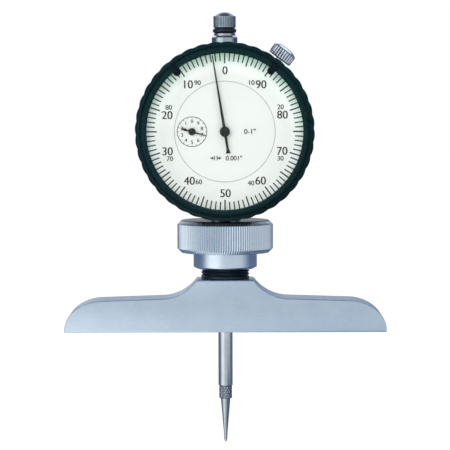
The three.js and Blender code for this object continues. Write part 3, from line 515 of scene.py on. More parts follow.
def clockwise(degrees):
    """Turns about the dial's axis, clockwise as the dial is read."""
    turn = Matrix.Rotation(math.radians(degrees), 4, "Y")
    return UP_THE_HEAD @ turn @ UP_THE_HEAD.inverted()


# Patterns that repeat, made by geometry nodes


def new_pattern(name, sizes):
    """A tree with named inputs: the sizes, whole numbers or not, and the material."""
    tree = bpy.data.node_groups.new(name, "GeometryNodeTree")
    inputs = {"Geometry": "Geometry"} | sizes | {"Material": "Material"}
    for label, kind in inputs.items():
        tree.interface.new_socket(label, in_out="INPUT", socket_type=f"NodeSocket{kind}")
    tree.interface.new_socket("Geometry", in_out="OUTPUT", socket_type="NodeSocketGeometry")
    given = tree.nodes.new("NodeGroupInput")
    return tree, given.outputs, functools.partial(maths, tree)


def close_pattern(tree, given, geometry):
    real = add(tree, "GeometryNodeRealizeInstances", {"Geometry": geometry})
    dressed = add(tree, "GeometryNodeSetMaterial", {
        "Geometry": real, "Material": given["Material"]})
    node(tree, "NodeGroupOutput", {"Geometry": dressed})
    return tree


def patterned(piece, tree, finish, **sizes):
    """Runs a pattern on a piece with the sizes named, and keeps the plain mesh that comes out."""
    pattern = piece.modifiers.new(tree.name, "NODES")
    pattern.node_group = tree
    names = {
        item.name: item.identifier for item in tree.interface.items_tree if item.in_out == "INPUT"}
    for size, value in sizes.items():
        pattern[names[size.replace("_", " ").title()]] = value
    pattern[names["Material"]] = FINISHES[finish]
    settle(piece)
    return smoothed(piece)


def ridges_pattern():
    """Ridges round the Z axis: a straight knurl, a crossed one, a thread, or a scalloped rim."""
    floats = ("Depth", "Turns Per Metre", "Crossed", "Rounded", "Phase", "Foot", "Head",
              "Run Out", "Least Radius")
    tree, given, calc = new_pattern("ridges", {"Count": "Int"} | dict.fromkeys(floats, "Float"))
    position = add(tree, "GeometryNodeInputPosition")
    x, y, z = node(tree, "ShaderNodeSeparateXYZ", {0: position}).outputs
    radius = distance(tree, x, y)
    turn = calc("ADD", calc("DIVIDE", calc("ARCTAN2", y, x), 2 * math.pi), given["Phase"])
    twist = calc("MULTIPLY", z, given["Turns Per Metre"])

    def between(share, first, second):
        inputs = {0: share, 2: first, 3: second}
        return add(tree, "ShaderNodeMix", inputs, data_type="FLOAT")

    def wave(where):
        """From 0 in a groove to 1 on a crest, straight-sided or rounded."""
        along = calc("MULTIPLY", where, given["Count"])
        part = calc("FRACT", along)
        sharp = calc("ABSOLUTE", calc("SUBTRACT", calc("MULTIPLY", part, 2.0), 1.0))
        round_top = calc("ABSOLUTE", calc("COSINE", calc("MULTIPLY", along, math.pi)))
        return between(given["Rounded"], sharp, round_top)

    rising = wave(calc("ADD", turn, twist))
    falling = wave(calc("SUBTRACT", turn, twist))
    crest = between(given["Crossed"], rising, calc("MINIMUM", rising, falling))
    above = calc("DIVIDE", calc("SUBTRACT", z, given["Foot"]), given["Run Out"])
    below = calc("DIVIDE", calc("SUBTRACT", given["Head"], z), given["Run Out"])
    fade = add(tree, "ShaderNodeClamp", {"Value": calc("MINIMUM", above, below)})
    outside = calc("GREATER_THAN", radius, given["Least Radius"])
    cut = calc("MULTIPLY", calc("SUBTRACT", 1.0, crest), calc("MULTIPLY", fade, outside))
    kept = calc("SUBTRACT", radius, calc("MULTIPLY", cut, given["Depth"]))
    share = calc("DIVIDE", kept, calc("MAXIMUM", radius, 1e-6))
    moved = add(tree, "ShaderNodeCombineXYZ", {
        0: calc("MULTIPLY", x, share), 1: calc("MULTIPLY", y, share), 2: z,
    })
    shaped = add(tree, "GeometryNodeSetPosition", {
        "Geometry": given["Geometry"], "Position": moved})
    marked = add(tree, "GeometryNodeStoreNamedAttribute", {
        "Geometry": shaped, "Name": "groove", "Value": cut,
    }, data_type="FLOAT")
    return close_pattern(tree, given, marked)


def marks_pattern():
    """Straight marks that stand round the Z axis, each from an inner to an outer radius."""
    floats = ("Inner", "Outer", "Width", "Thickness", "First")
    tree, given, calc = new_pattern("dial marks", {"Count": "Int"} | dict.fromkeys(floats, "Float"))
    index = add(tree, "GeometryNodeInputIndex")
    step = calc("DIVIDE", 2 * math.pi, given["Count"])
    angle = calc("ADD", calc("MULTIPLY", index, step), given["First"])
    middle = calc("MULTIPLY", calc("ADD", given["Inner"], given["Outer"]), 0.5)
    where = add(tree, "ShaderNodeCombineXYZ", {
        0: calc("MULTIPLY", calc("COSINE", angle), middle),
        1: calc("MULTIPLY", calc("SINE", angle), middle),
    })
    points = add(tree, "GeometryNodePoints", {"Count": given["Count"], "Position": where})
    length = calc("SUBTRACT", given["Outer"], given["Inner"])
    size = add(tree, "ShaderNodeCombineXYZ", {0: length, 1: given["Width"], 2: given["Thickness"]})
    mark = add(tree, "GeometryNodeMeshCube", {"Size": size})
    turn = add(tree, "ShaderNodeCombineXYZ", {2: angle})
    copies = add(tree, "GeometryNodeInstanceOnPoints", {
        "Points": points, "Instance": mark, "Rotation": turn})
    return close_pattern(tree, given, copies)


def coil_pattern():
    """A round wire wound up the Z axis."""
    floats = ("Turns", "Radius", "Height", "Wire")
    tree, given, _ = new_pattern(
        "wound wire", dict.fromkeys(floats, "Float") | {"Points Per Turn": "Int"})
    path = add(tree, "GeometryNodeCurveSpiral", {
        "Resolution": given["Points Per Turn"], "Rotations": given["Turns"],
        "Start Radius": given["Radius"], "End Radius": given["Radius"], "Height": given["Height"],
    })
    section = add(tree, "GeometryNodeCurvePrimitiveCircle", {
        "Resolution": 12, "Radius": given["Wire"]})
    wire = add(tree, "GeometryNodeCurveToMesh", {
        "Curve": path, "Profile Curve": section, "Fill Caps": True})
    return close_pattern(tree, given, wire)


def row_pattern():
    """Copies of a piece in a row up the Z axis."""
    tree, given, _ = new_pattern("row", {"Count": "Int", "Step": "Float"})
    offset = add(tree, "ShaderNodeCombineXYZ", {2: given["Step"]})
    line = add(tree, "GeometryNodeMeshLine", {"Count": given["Count"], "Offset": offset})
    copies = add(tree, "GeometryNodeInstanceOnPoints", {
        "Points": line, "Instance": given["Geometry"]})
    return close_pattern(tree, given, copies)


RIDGES = ridges_pattern()
MARKS = marks_pattern()
COIL = coil_pattern()
ROW = row_pattern()


def knurled(piece, finish, count, depth, foot, head, run_out=0.3, least_radius=0.0, **more):
    """Cuts ridges between two heights, fading out over the run out, outside the least radius."""
    sizes = {"turns_per_metre": 0.0, "crossed": 0.0, "rounded": 0.0, "phase": 0.0} | more
    return patterned(
        piece, RIDGES, finish, count=count, depth=depth * MM, foot=foot * MM, head=head * MM,
        run_out=run_out * MM, least_radius=least_radius * MM, **sizes)


def fitted(piece, body, slot, *nodes):
    """Makes a piece ride on a body and stand for these CAD nodes. The slot is not used."""
    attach(piece, body)
    if nodes:
        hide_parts(*nodes)


# Base


def make_base():
    half_length, half_depth = 50.8, 8.0
    land, reach, height = 0.6, 12.0, 10.0  # each end: flat foot, then a quarter of an oval
    shoulder, neck, flank = 10.6, 9.0, 14.0
    spindle_bore, bush_bore, above = 2.8, 5.7, 18
    arc_steps = 32
    side = [(half_length, 0.0), (half_length, land)]
    for i in range(1, arc_steps + 1):
        angle = math.pi / 2 * i / arc_steps
        side.append((
            half_length - reach * (1 - math.cos(angle)),
            land + (height - land) * math.sin(angle)))
    sweep = math.acos(1 - (BASE_TOP - shoulder) / flank)
    foot = neck + flank * math.sin(sweep)
    for i in range(arc_steps + 1):
        angle = sweep * i / arc_steps
        side.append((foot - flank * math.sin(angle), shoulder + flank * (1 - math.cos(angle))))
    outline = side + [(-x, z) for x, z in reversed(side)]
    base = slab("bridge_base", outline, -half_depth, half_depth, "lapped_chrome", bevel=0.25)
    bores = lathe("bores", [
        (0, -1), (spindle_bore, -1), (spindle_bore, BUSH_FOOT), (bush_bore, BUSH_FOOT),
        (bush_bore, above), (0, above),
    ], "lapped_chrome", 48)
    fitted(combine(base, bores), "base", "satin_chrome", "base")


# Clamp: threaded bush and nut


def make_clamp():
    """The threaded bush, with the collet's bore and mouth, and the nut over it."""
    bore, shank, thread, edge = 4.87, 5.6, 7.7, 0.35
    mouth, mouth_foot = 6.06, 19.0
    thread_foot = BASE_TOP + edge
    bush = lathe("threaded_bush", [
        (bore, BUSH_FOOT), (shank, BUSH_FOOT, 0.2), (shank, BASE_TOP), (thread - edge, BASE_TOP),
        (thread, thread_foot), *stations(thread, thread_foot, BUSH_TOP, 106), (thread, BUSH_TOP),
        (mouth, BUSH_TOP), (mouth, mouth_foot), (bore, mouth_foot),
    ], "thread_oxide", 72)
    knurled(
        bush, "thread_oxide", 1, 0.5, BASE_TOP + 0.6, BUSH_TOP - 0.2,
        turns_per_metre=1 / MM, rounded=0.25, least_radius=7.2)
    fitted(bush, "base", "black_oxide", "collet_bush")

    collar, rim, chamfer = 10.05, 15.15, 1.35
    inside, stem_hole, roof = 7.8, 5.06, NUT_TOP - 2
    knurl_foot, knurl_top = NUT_HEAD + chamfer, NUT_TOP - chamfer
    nut = lathe("clamp_nut_body", [
        (inside, NUT_FOOT), (8.9, NUT_FOOT, 0.2), (collar, NUT_FOOT + 0.6, 0.4),
        (collar, NUT_HEAD), (rim - chamfer, NUT_HEAD, 0.3), (rim, knurl_foot, 0.2),
        *stations(rim, knurl_foot, knurl_top, 12), (rim, knurl_top, 0.2),
        (rim - chamfer, NUT_TOP, 0.3), (stem_hole, NUT_TOP, 0.2), (stem_hole, roof),
        (6.26, roof), (6.26, BUSH_TOP + 0.3), (inside, BUSH_TOP + 0.3),
    ], "knurled_chrome", 720)
    knurled(
        nut, "knurled_chrome", 120, 0.36, knurl_foot - 0.2, knurl_top + 0.2,
        rounded=0.8, least_radius=14.8, run_out=0.2)
    fitted(nut, "clamp_nut", "satin_chrome", "clamp_nut")


# Case, cover and clamp block


def make_case():
    groove, half_groove = 24.82, 0.38  # where the bezel's wire sits
    case = lathe("case_shell", [
        (0, DIAL_BACK), (CASE_RADIUS, DIAL_BACK, 0.2), (CASE_RADIUS, BEZEL_WIRE - half_groove),
        (groove, BEZEL_WIRE - half_groove), (groove, BEZEL_WIRE + half_groove),
        (CASE_RADIUS, BEZEL_WIRE + half_groove), (CASE_RADIUS, CASE_BACK, 0.25),
        (CASE_INNER, CASE_BACK), (CASE_INNER, CASE_FLOOR, 0.6), (0, CASE_FLOOR),
    ], "black_paint", 180)
    place(case, ON_DIAL_AXIS)
    stem_bore_foot, above = 34.0, DIAL_HEIGHT + CASE_RADIUS + 1
    drilled(case, STEM_RADIUS + FIT, stem_bore_foot, STEM_TOP)
    drilled(case, 3.2, NECK_FOOT - 1, above)
    drilled(case, 4.15, DIAL_HEIGHT + SEAT_RADIUS, above)
    for centre in (ON_DIAL_AXIS, AT_COUNTER):
        drilled(case, ARBOR_HOLE, -15, -11, centre, 24)
    flat = slab("flat", box(-3.6, SEAT_RADIUS, 3.6, 26.8), -9.575, -1.9, "black_paint")
    place(flat, clockwise(CLAMP_BEARING) @ UP_THE_HEAD)
    fitted(combine(case, flat), "head", "black_paint", "case")


def make_back_cover():
    cover = lathe("cover_disc", [
        (0, CASE_BACK), (CASE_RADIUS, CASE_BACK, 0.15), (CASE_RADIUS, 7.15, 0.3),
        (23.6, COVER_BACK, 0.4), (0, COVER_BACK),
    ], "black_paint", 180)
    place(cover, ON_DIAL_AXIS)
    shank, hole, head, half_slot = 0.7, 0.8, 1.3, 0.19
    screws = []
    reach = CASE_RADIUS - 3.6
    for corner in (45, 135, 225, 315):
        x, z = reach * math.cos(math.radians(corner)), reach * math.sin(math.radians(corner))
        at_screw = shifted(x, 0, z) @ ON_DIAL_AXIS
        drilled(cover, hole, 5, 9, at_screw, 24)
        screw = lathe("screw", [
            (0, 4.9), (shank, 4.9), (shank, COVER_BACK), (head, COVER_BACK, 0.05),
            (head, 8.35, 0.2), (0, 8.5),
        ], "ground_steel", 40)
        slot = slab(
            "slot", box(-1.6, -half_slot, 1.6, half_slot), COVER_BACK + 0.3, COVER_BACK + 1.0,
            "ground_steel")
        place(slot, shifted(x, 0, DIAL_HEIGHT + z))
        screws.append(combine(place(screw, at_screw), slot))
    fitted(cover, "head", "black_paint", "back_cover")
    heads = smoothed(gathered("cover_screws", screws, "ground_steel"))
    fitted(heads, "head", "ground_steel", *(f"cover_screw_{i}" for i in range(1, 5)))


def make_clamp_block():
    outline = box(-3.5, SEAT_RADIUS + 0.1, 3.5, SEAT_RADIUS + 2.9)
    block = slab("clamp_lug", outline, -9.475, -2.0, "black_paint", bevel=0.35)
    place(block, UP_THE_HEAD)
    drilled(block, 1.1, 20, 30, shifted(0, CLAMP_DEPTH, DIAL_HEIGHT), 32)
    fitted(place(block, clockwise(CLAMP_BEARING)), "head", "black_paint", "clamp_block")


# Stem, top bush, spindle, cap and contact point


def make_stem():
    bore = SPINDLE_RADIUS + FIT
    stem = lathe("head_stem", [
        (bore, STEM_FOOT), (4.46, STEM_FOOT), (STEM_RADIUS, STEM_FOOT + 0.3),
        (STEM_RADIUS, STEM_TOP, 0.2), (bore, STEM_TOP),
    ], "ground_steel")
    fitted(stem, "head", "ground_steel", "stem")
    shank, collar, neck = 3.1, 4.05, 3.4
    seat, shoulder = DIAL_HEIGHT + SEAT_RADIUS, NECK_TOP - 0.75
    bush = lathe("head_top_bush", [
        (bore, NECK_FOOT), (shank, NECK_FOOT), (shank, seat), (collar, seat),
        (collar, shoulder - 0.6, 0.2), (3.5, shoulder, 0.15), (neck, shoulder, 0.05),
        (neck, NECK_TOP, 0.15), (bore, NECK_TOP, 0.1),
    ], "bright_chrome")
    fitted(bush, "head", "satin_chrome", "top_bush")


def make_spindle():
    socket, socket_top, stud, stud_top = 1.35, SPINDLE_FOOT + 3.7, 1.2, CAP_SEAT + 3.4
    bar = lathe("measuring_spindle", [
        (0, socket_top), (socket, socket_top), (socket, SPINDLE_FOOT),
        (SPINDLE_RADIUS, SPINDLE_FOOT, 0.12), (SPINDLE_RADIUS, CAP_SEAT), (stud, CAP_SEAT),
        (stud, stud_top, 0.15), (0, stud_top),
    ], "ground_steel", 72)
    crest, root, pitch = -1.25, -0.47, 1.5875
    gaps, gaps_below, half_width = 21, 18, 4
    low, high = RACK_HEIGHT - 29.94, RACK_HEIGHT + 4.14
    flat = slab("rack_flat", box(-4, low, crest, high), -half_width, half_width, "ground_steel")
    combine(bar, flat)
    first = RACK_HEIGHT - gaps_below * pitch
    mouth, floor = 0.38 * pitch * 1.3, 0.17 * pitch
    gap = slab("rack_gap", [
        (crest - 0.5, first - mouth), (root, first - floor), (root, first + floor),
        (crest - 0.5, first + mouth),
    ], -half_width, half_width, "ground_steel")
    patterned(gap, ROW, "ground_steel", count=gaps, step=pitch * MM)
    fitted(combine(bar, gap), "spindle", "ground_steel", "spindle")


def make_contact_point():
    stud, grip, needle = 1.25, 2.1, 1.5
    stud_top = SPINDLE_FOOT + 3.4
    grip_top, grip_foot = SPINDLE_FOOT - 0.25, GRIP_FOOT + 0.25
    point = lathe("needle_point", [
        (0, stud_top), (stud, stud_top), (stud, SPINDLE_FOOT), (1.85, SPINDLE_FOOT, 0.1),
        (grip, grip_top), *stations(grip, grip_top, grip_foot, 48), (grip, grip_foot),
        (1.8, GRIP_FOOT, 0.1), (needle, GRIP_FOOT), (needle, GRIP_FOOT - 0.2),
        (0.62, NEEDLE_TIP + 3.4, 3.0), (0.5, NEEDLE_TIP + 1.0, 0.6),
        (0.26, NEEDLE_TIP + 0.12, 0.15), (0, NEEDLE_TIP),
    ], "needle_steel", 144)
    turns = math.tan(math.radians(30)) / (2 * math.pi * grip * MM)
    knurled(
        point, "needle_steel", 15, 0.2, grip_foot, grip_top, turns_per_metre=turns, crossed=1.0,
        least_radius=1.9, run_out=0.1)
    fitted(point, "spindle", "ground_steel", "contact_point")


def make_cap():
    radius, shoulder, dome = 3.525, CAP_SEAT + 3.8, 3.075
    hole, hole_top = 1.3, CAP_SEAT + 3.5
    low, high = CAP_SEAT + 0.3, shoulder - 0.12
    cap = lathe("knurled_cap", [
        (0, hole_top), (hole, hole_top), (hole, CAP_SEAT), (radius - 0.25, CAP_SEAT, 0.1),
        (radius, low), *stations(radius, low, high, 8), (radius, high),
        (radius - 0.15, shoulder, 0.05), (dome, shoulder, 0.05),
        (dome * 0.75, shoulder + 0.56, 0.8), (dome * 0.4, shoulder + 1.03, 0.8),
        (0, shoulder + 1.18),
    ], "shaded_cap_chrome", 240)
    knurled(
        cap, "shaded_cap_chrome", 40, 0.1, low, high, rounded=0.8, least_radius=3.35, run_out=0.1)
    fitted(cap, "spindle", "satin_chrome", "lifting_cap")
    half, middle, inner = (CAP_SEAT - NECK_TOP) / 2, 2.95, 2.4
    section = disc_outline(half - 0.03, middle, CAP_SEAT - half, 24)
    ring = lathe("rubber_ring", [(max(x, inner), z) for x, z in section], "rubber")
    fitted(ring, "spindle", "rubber", "o_ring")


def make_return_spring():
    foot, top = span("return_spring", Z)
    x, wire_radius = 6, 0.2
    wire = piece_from("wound_return_spring", bpy.data.meshes.new("wire"), "ground_steel")
    patterned(
        wire, COIL, "ground_steel", turns=12.0, radius=0.9 * MM,
        height=(top - foot - 2 * wire_radius) * MM, wire=wire_radius * MM, points_per_turn=24)
    place(wire, shifted(x, 0, foot + wire_radius))
    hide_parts("return_spring")
    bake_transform(wire)


# Bezel, crystal and dials


def make_bezel():
    bore, wire_bore, half_wire = CASE_RADIUS + 0.2, CASE_RADIUS + 0.5, 0.375
    groove, lip = BEZEL_NOSE + 1.7, BEZEL_NOSE + 0.7
    dial_bore, dial_seat = 25.0, -13.875
    bezel = lathe("bezel_ring", [
        (LIP_RADIUS, BEZEL_NOSE, 0.12), (RING_EDGE, BEZEL_NOSE, 0.2),
        (RING_EDGE + 0.12, groove, 0.1), (RING_EDGE + 0.75, groove, 0.1),
        (RING_EDGE + 0.9, groove - 0.6, 0.15), (RING_EDGE + 1.4, groove - 0.35, 0.3),
        (BEZEL_RADIUS, groove + 0.6, 0.5), (BEZEL_RADIUS, -12.6),
        (BEZEL_RADIUS, BEZEL_TAIL, 0.3), (bore, BEZEL_TAIL), (bore, BEZEL_WIRE + half_wire),
        (wire_bore, BEZEL_WIRE + half_wire), (wire_bore, BEZEL_WIRE - half_wire),
        (bore, BEZEL_WIRE - half_wire), (bore, dial_seat), (dial_bore, dial_seat),
        (dial_bore, lip), (LIP_RADIUS, lip, 0.12),
    ], "black_paint", 480)
    knurled(
        bezel, "black_paint", 40, 0.3, -16.9, -8.0, rounded=1.0, phase=87.52 / 360,
        least_radius=26.9, run_out=1.2)
    fitted(place(bezel, ON_DIAL_AXIS), "bezel", "black_paint", "bezel")

    crystal = lathe("clear_crystal", [
        (0, CRYSTAL_FRONT), (DIAL_RADIUS, CRYSTAL_FRONT, 0.1), (DIAL_RADIUS, CRYSTAL_BACK, 0.1),
        (0, CRYSTAL_BACK),
    ], "crystal", 120)
    fitted(place(crystal, ON_DIAL_AXIS), "bezel", "crystal", "crystal")
    spacer = lathe(
        "spacer_ring", box(24.3, CRYSTAL_BACK, DIAL_RADIUS, DIAL_FACE), "black_paint", 120)
    fitted(place(spacer, ON_DIAL_AXIS), "bezel", "black_paint", "dial_spacer")


def make_dials():
    inner = lathe("inner_dial_disc", [
        (0, DIAL_FACE), (INNER_DIAL_RADIUS, DIAL_FACE, 0.06), (INNER_DIAL_RADIUS, DIAL_BACK),
        (0, DIAL_BACK),
    ], "dial_white", 144)
    place(inner, ON_DIAL_AXIS)
    for centre in (ON_DIAL_AXIS, AT_COUNTER):
        drilled(inner, ARBOR_HOLE, -15, -13, centre, 32)
    fitted(inner, "head", "dial_white", "inner_dial")
    bore, back = INNER_DIAL_RADIUS + FIT, -13.675
    outer = lathe("outer_dial_ring", [
        (bore, DIAL_FACE, 0.06), (DIAL_RADIUS, DIAL_FACE), (DIAL_RADIUS, back), (bore, back),
    ], "dial_white", 144)
    fitted(place(outer, ON_DIAL_AXIS), "bezel", "dial_white", "outer_dial")


def lettering(words, height, x, z, weight=0.06):
    """Generic characters on the dial's face, centred, and struck twice to thicken them."""
    curve = bpy.data.curves.new(words, "FONT")
    curve.body = words
    curve.extrude = 0.5
    text = bpy.data.objects.new(words, curve)
    scene.collection.objects.link(text)
    shown = text.evaluated_get(bpy.context.evaluated_depsgraph_get())
    mesh = bpy.data.meshes.new_from_object(shown)
    bpy.data.objects.remove(text)
    body = bmesh.new()
    body.from_mesh(mesh)
    bmesh.ops.remove_doubles(body, verts=body.verts, dist=1e-5)
    body.to_mesh(mesh)
    body.free()
    lows = [min(v.co[i] for v in mesh.vertices) for i in range(3)]
    highs = [max(v.co[i] for v in mesh.vertices) for i in range(3)]
    centre = Vector([(low + high) / 2 for low, high in zip(lows, highs)])
    tall = height / (highs[1] - lows[1]) * MM
    size = Matrix.Diagonal((tall * LETTER_WIDTH, tall, PRINT * MM, 1))
    upright = Matrix.Rotation(math.pi / 2, 4, "X")
    spot = shifted(x, DIAL_FACE - PRINT / 2, DIAL_HEIGHT + z)
    mesh.transform(spot @ upright @ size @ Matrix.Translation(-centre))
    strikes = []
    for side in (-weight, weight):
        strike = mesh.copy()
        strike.transform(shifted(side, 0, 0))
        strikes.append(piece_from(words, strike, "ink"))
    return gathered(words, strikes, "ink")


def marks(name, count, inner, outer, width, centre=ON_DIAL_AXIS):
    made = piece_from(name, bpy.data.meshes.new(name), "ink")
    patterned(
        made, MARKS, "ink", count=count, inner=inner * MM, outer=outer * MM, width=width * MM,
        thickness=PRINT * MM, first=math.pi / 2)
    return place(made, centre @ shifted(0, 0, DIAL_FACE - PRINT / 2))


def printed_ring(name, radius, width, centre, finish="ink"):
    section = box(radius, DIAL_FACE - PRINT, radius + width, DIAL_FACE)
    return place(lathe(name, section, finish, 120), centre)


def printed_shape(name, outline):
    return place(slab(name, outline, DIAL_FACE - PRINT, DIAL_FACE, "ink"), UP_THE_HEAD)


def make_outer_print():
    """The marks, the large numbers, and the small ones that run the other way."""
    printed = [
        marks("short_marks", 100, 21.8, 24.8, 0.38),
        marks("long_marks", 20, 21.1, 24.8, 0.42),
    ]
    tens = {
        "0": (0.1, 18.95), "10": (-11.2, 14.65), "20": (-17.85, 5.15), "30": (-17.75, -6.05),
        "40": (-11.05, -15.2), "50": (0.15, -19.1), "60": (11.05, -15.2), "70": (17.75, -6.0),
        "80": (17.85, 5.2), "90": (11.25, 14.6),
    }
    beside = {
        "10": (8.4, 15.15), "20": (17.25, 7.6), "30": (17.2, -8.3), "40": (8.05, -15.95),
        "60": (-8.1, -15.55), "70": (-17.05, -8.35), "80": (-17.35, 7.55), "90": (-8.4, 15.15),
    }
    for numbers, height, weight in ((tens, 2.5, 0.06), (beside, 1.5, 0.05)):
        for number, (x, z) in numbers.items():
            printed.append(lettering(number, height, x, z, weight))
    fitted(gathered("outer_dial_print", printed, "ink"), "bezel", "black_paint")


def make_inner_print():
    """The counter's ring and numbers, the range, and the value of a division."""
    printed = [
        marks("counter_marks", 20, 4.15, 4.6, 0.16, AT_COUNTER),
        printed_ring("counter_ring", 4.5, 0.2, AT_COUNTER),
        lettering('0-1"', 1.65, 7.75, 0.05, 0.05),
        lettering('0.001"', 1.5, 2.8, -8.2, 0.05),
    ]
    reach = 3.25
    for i in range(10):
        bearing = math.radians(-36 * i)
        x, z = reach * math.sin(bearing), reach * math.cos(bearing)
        printed.append(lettering(str(i), 1.15, COUNTER_X + x, z, 0.04))
    line, low, high, middle, barb = 0.14, -8.9, -7.5, -8.2, 0.55
    for side, bar in ((-1, -3.25), (1, -2.4)):
        printed.append(printed_shape("division", box(bar - line, low, bar + line, high)))
        tip = bar + side * 0.16
        tail = tip + side * 0.65
        end = tip + side * 1.15
        printed.append(printed_shape("arrow", [
            (tip, middle), (tail, middle + barb), (tail, middle + line), (end, middle + line),
            (end, middle - line), (tail, middle - line), (tail, middle - barb)]))
    fitted(gathered("inner_dial_print", printed, "ink"), "head", "black_paint")
    edge = printed_ring("inner_dial_line", 15.36, 0.14, ON_DIAL_AXIS, "faint_line")
    fitted(edge, "head", "dial_white")


# Hands


HAND_THICKNESS = 0.25
HAND_BORE = 0.55


def hub_cap(name, radius, back, thickness, bore_depth):
    front = back - thickness
    return lathe(name, [
        (0, front), (radius * 0.2, front, 0.05), (radius * 0.28, front + 0.08, 0.05),
        (radius * 0.75, front + 0.05, 0.1), (radius, back - thickness / 2, 0.1), (radius, back),
        (HAND_BORE, back), (HAND_BORE, back - bore_depth), (0, back - bore_depth),
    ], "hand_black", 48)


def flat_hand(name, blade, back, hub, bevel):
    """A blade and a round hub in one, bored for the arbor."""
    front = back - HAND_THICKNESS
    hand = slab(name, blade, front, back, "hand_black", bevel, 2)
    disc = slab("hub", disc_outline(hub), front, back, "hand_black", 0.05, 2)
    combine(hand, disc, "UNION")
    hole = slab("hole", disc_outline(HAND_BORE, count=24), front - 1, back + 1, "hand_black")
    return combine(hand, hole)


def make_hands():
    back = span("pointer", Y)[1]
    pointer = flat_hand("pointer_blade", [
        (0.475, 0), (0.16, 23.9), (-0.16, 23.9), (-0.475, 0), (-0.36, -5.3), (-0.75, -6.8),
        (0.75, -6.8), (0.36, -5.3),
    ], back, 1.6, 0.05)
    place(pointer, clockwise(-9.2) @ UP_THE_HEAD)
    fitted(pointer, "pointer", "black_oxide", "pointer")
    cap = hub_cap("pointer_cap", 1.6, back - HAND_THICKNESS, 0.4, 0.25)
    fitted(place(cap, ON_DIAL_AXIS), "pointer", "black_oxide", "pointer_hub")

    back = span("counter_hand", Y)[1]
    hand = flat_hand("counter_blade", [
        (0.26, 0), (0.13, 4.5), (-0.13, 4.5), (-0.26, 0), (-0.16, -1.3), (-0.42, -2.3),
        (0, -3.8), (0.42, -2.3), (0.16, -1.3),
    ], back, 1.15, 0.04)
    place(hand, shifted(COUNTER_X, 0, 0) @ clockwise(106.5) @ UP_THE_HEAD)
    cap = hub_cap("counter_cap", 1.0, back - HAND_THICKNESS, 0.3, 0.2)
    whole = gathered("counter_pointer", [hand, place(cap, AT_COUNTER)], "hand_black")
    fitted(smoothed(whole), "counter", "black_oxide", "counter_hand")


def make_limit_hands():
    half, corner, front, back = 1.15, 0.2, -18.475, -18.075
    tip, end = LIP_RADIUS - 2.2, RING_EDGE + 0.65
    for name, bearing in (("right", 37.3), ("left", -38.7)):
        outline = disc_outline(half, 0, tip + half, 24, 180, 180)
        outline += [
            (half, end - corner), (half - corner, end), (corner - half, end),
            (-half, end - corner)]
        tab = slab("limit_tab", outline, front, back, "tab_paint", bevel=0.12)
        hook_outline = box(-1.05, end - 0.4, 1.05, end - 0.05)
        combine(tab, slab("hook", hook_outline, -18.2, -16.6, "tab_paint"), "UNION")
        tab.name = f"limit_tab_{name}"
        place(tab, clockwise(bearing) @ UP_THE_HEAD)
        fitted(tab, f"limit_{name}", "black_oxide", f"limit_hand_{name}")


def make_bezel_clamp():
    shank, shank_foot = 1.0, SEAT_RADIUS + 0.2
    foot, radius, edge = BEZEL_RADIUS + 0.4, 4.0, 0.3
    top, dome = foot + 3.3, 0.9
    low, high = foot + edge, top - edge
    screw = lathe("clamp_thumbscrew", [
        (0, shank_foot), (shank, shank_foot, 0.1), (shank, foot), (radius - edge, foot, 0.1),
        (radius, low), *stations(radius, low, high, 6), (radius, high),
        (radius - 0.25, top, 0.1), (radius * 0.7, top + dome * 0.55, 1.5),
        (radius * 0.35, top + dome * 0.9, 1.5), (0, top + dome),
    ], "knob_chrome", 432)
    knurled(
        screw, "knob_chrome", 26, 0.3, low, high, rounded=0.3, least_radius=3.7, run_out=0.1)
    place(screw, clockwise(CLAMP_BEARING) @ UP_THE_HEAD @ shifted(0, CLAMP_DEPTH, 0))
    fitted(screw, "bezel_clamp", "satin_chrome", "bezel_clamp_screw")


def dress_solids():
    """The movement inside the case keeps its solids and gets its finishes."""
    slots = {row["node"]: row["material_slot"] for row in frame["record"]["subparts"]}
    for name, solid in frame["nodes"].items():
        solid.data.materials.clear()
        solid.data.materials.append(FINISHES[slots[name]])


# Studio


def light_round(tree, x, y):
    """How bright the two soft panels are in a direction round the object."""
    calc = functools.partial(maths, tree)
    bearing = calc("ARCTAN2", x, calc("MULTIPLY", y, -1.0))
    light = 0.0
    for middle, half, soft, bright in PANELS:
        away = calc("ABSOLUTE", calc("SUBTRACT", bearing, math.radians(middle)))
        edge = math.radians(half), math.radians(half + soft)
        light = calc("MAXIMUM", light, smooth_step(tree, away, *edge, bright, 0.0))
    return light


def gloss_colour(tree, light):
    """From the dark blue of the flanks to the white of the panels."""
    return blend(tree, light, FLANK_GLOW, WHITE, clamp_factor=False)


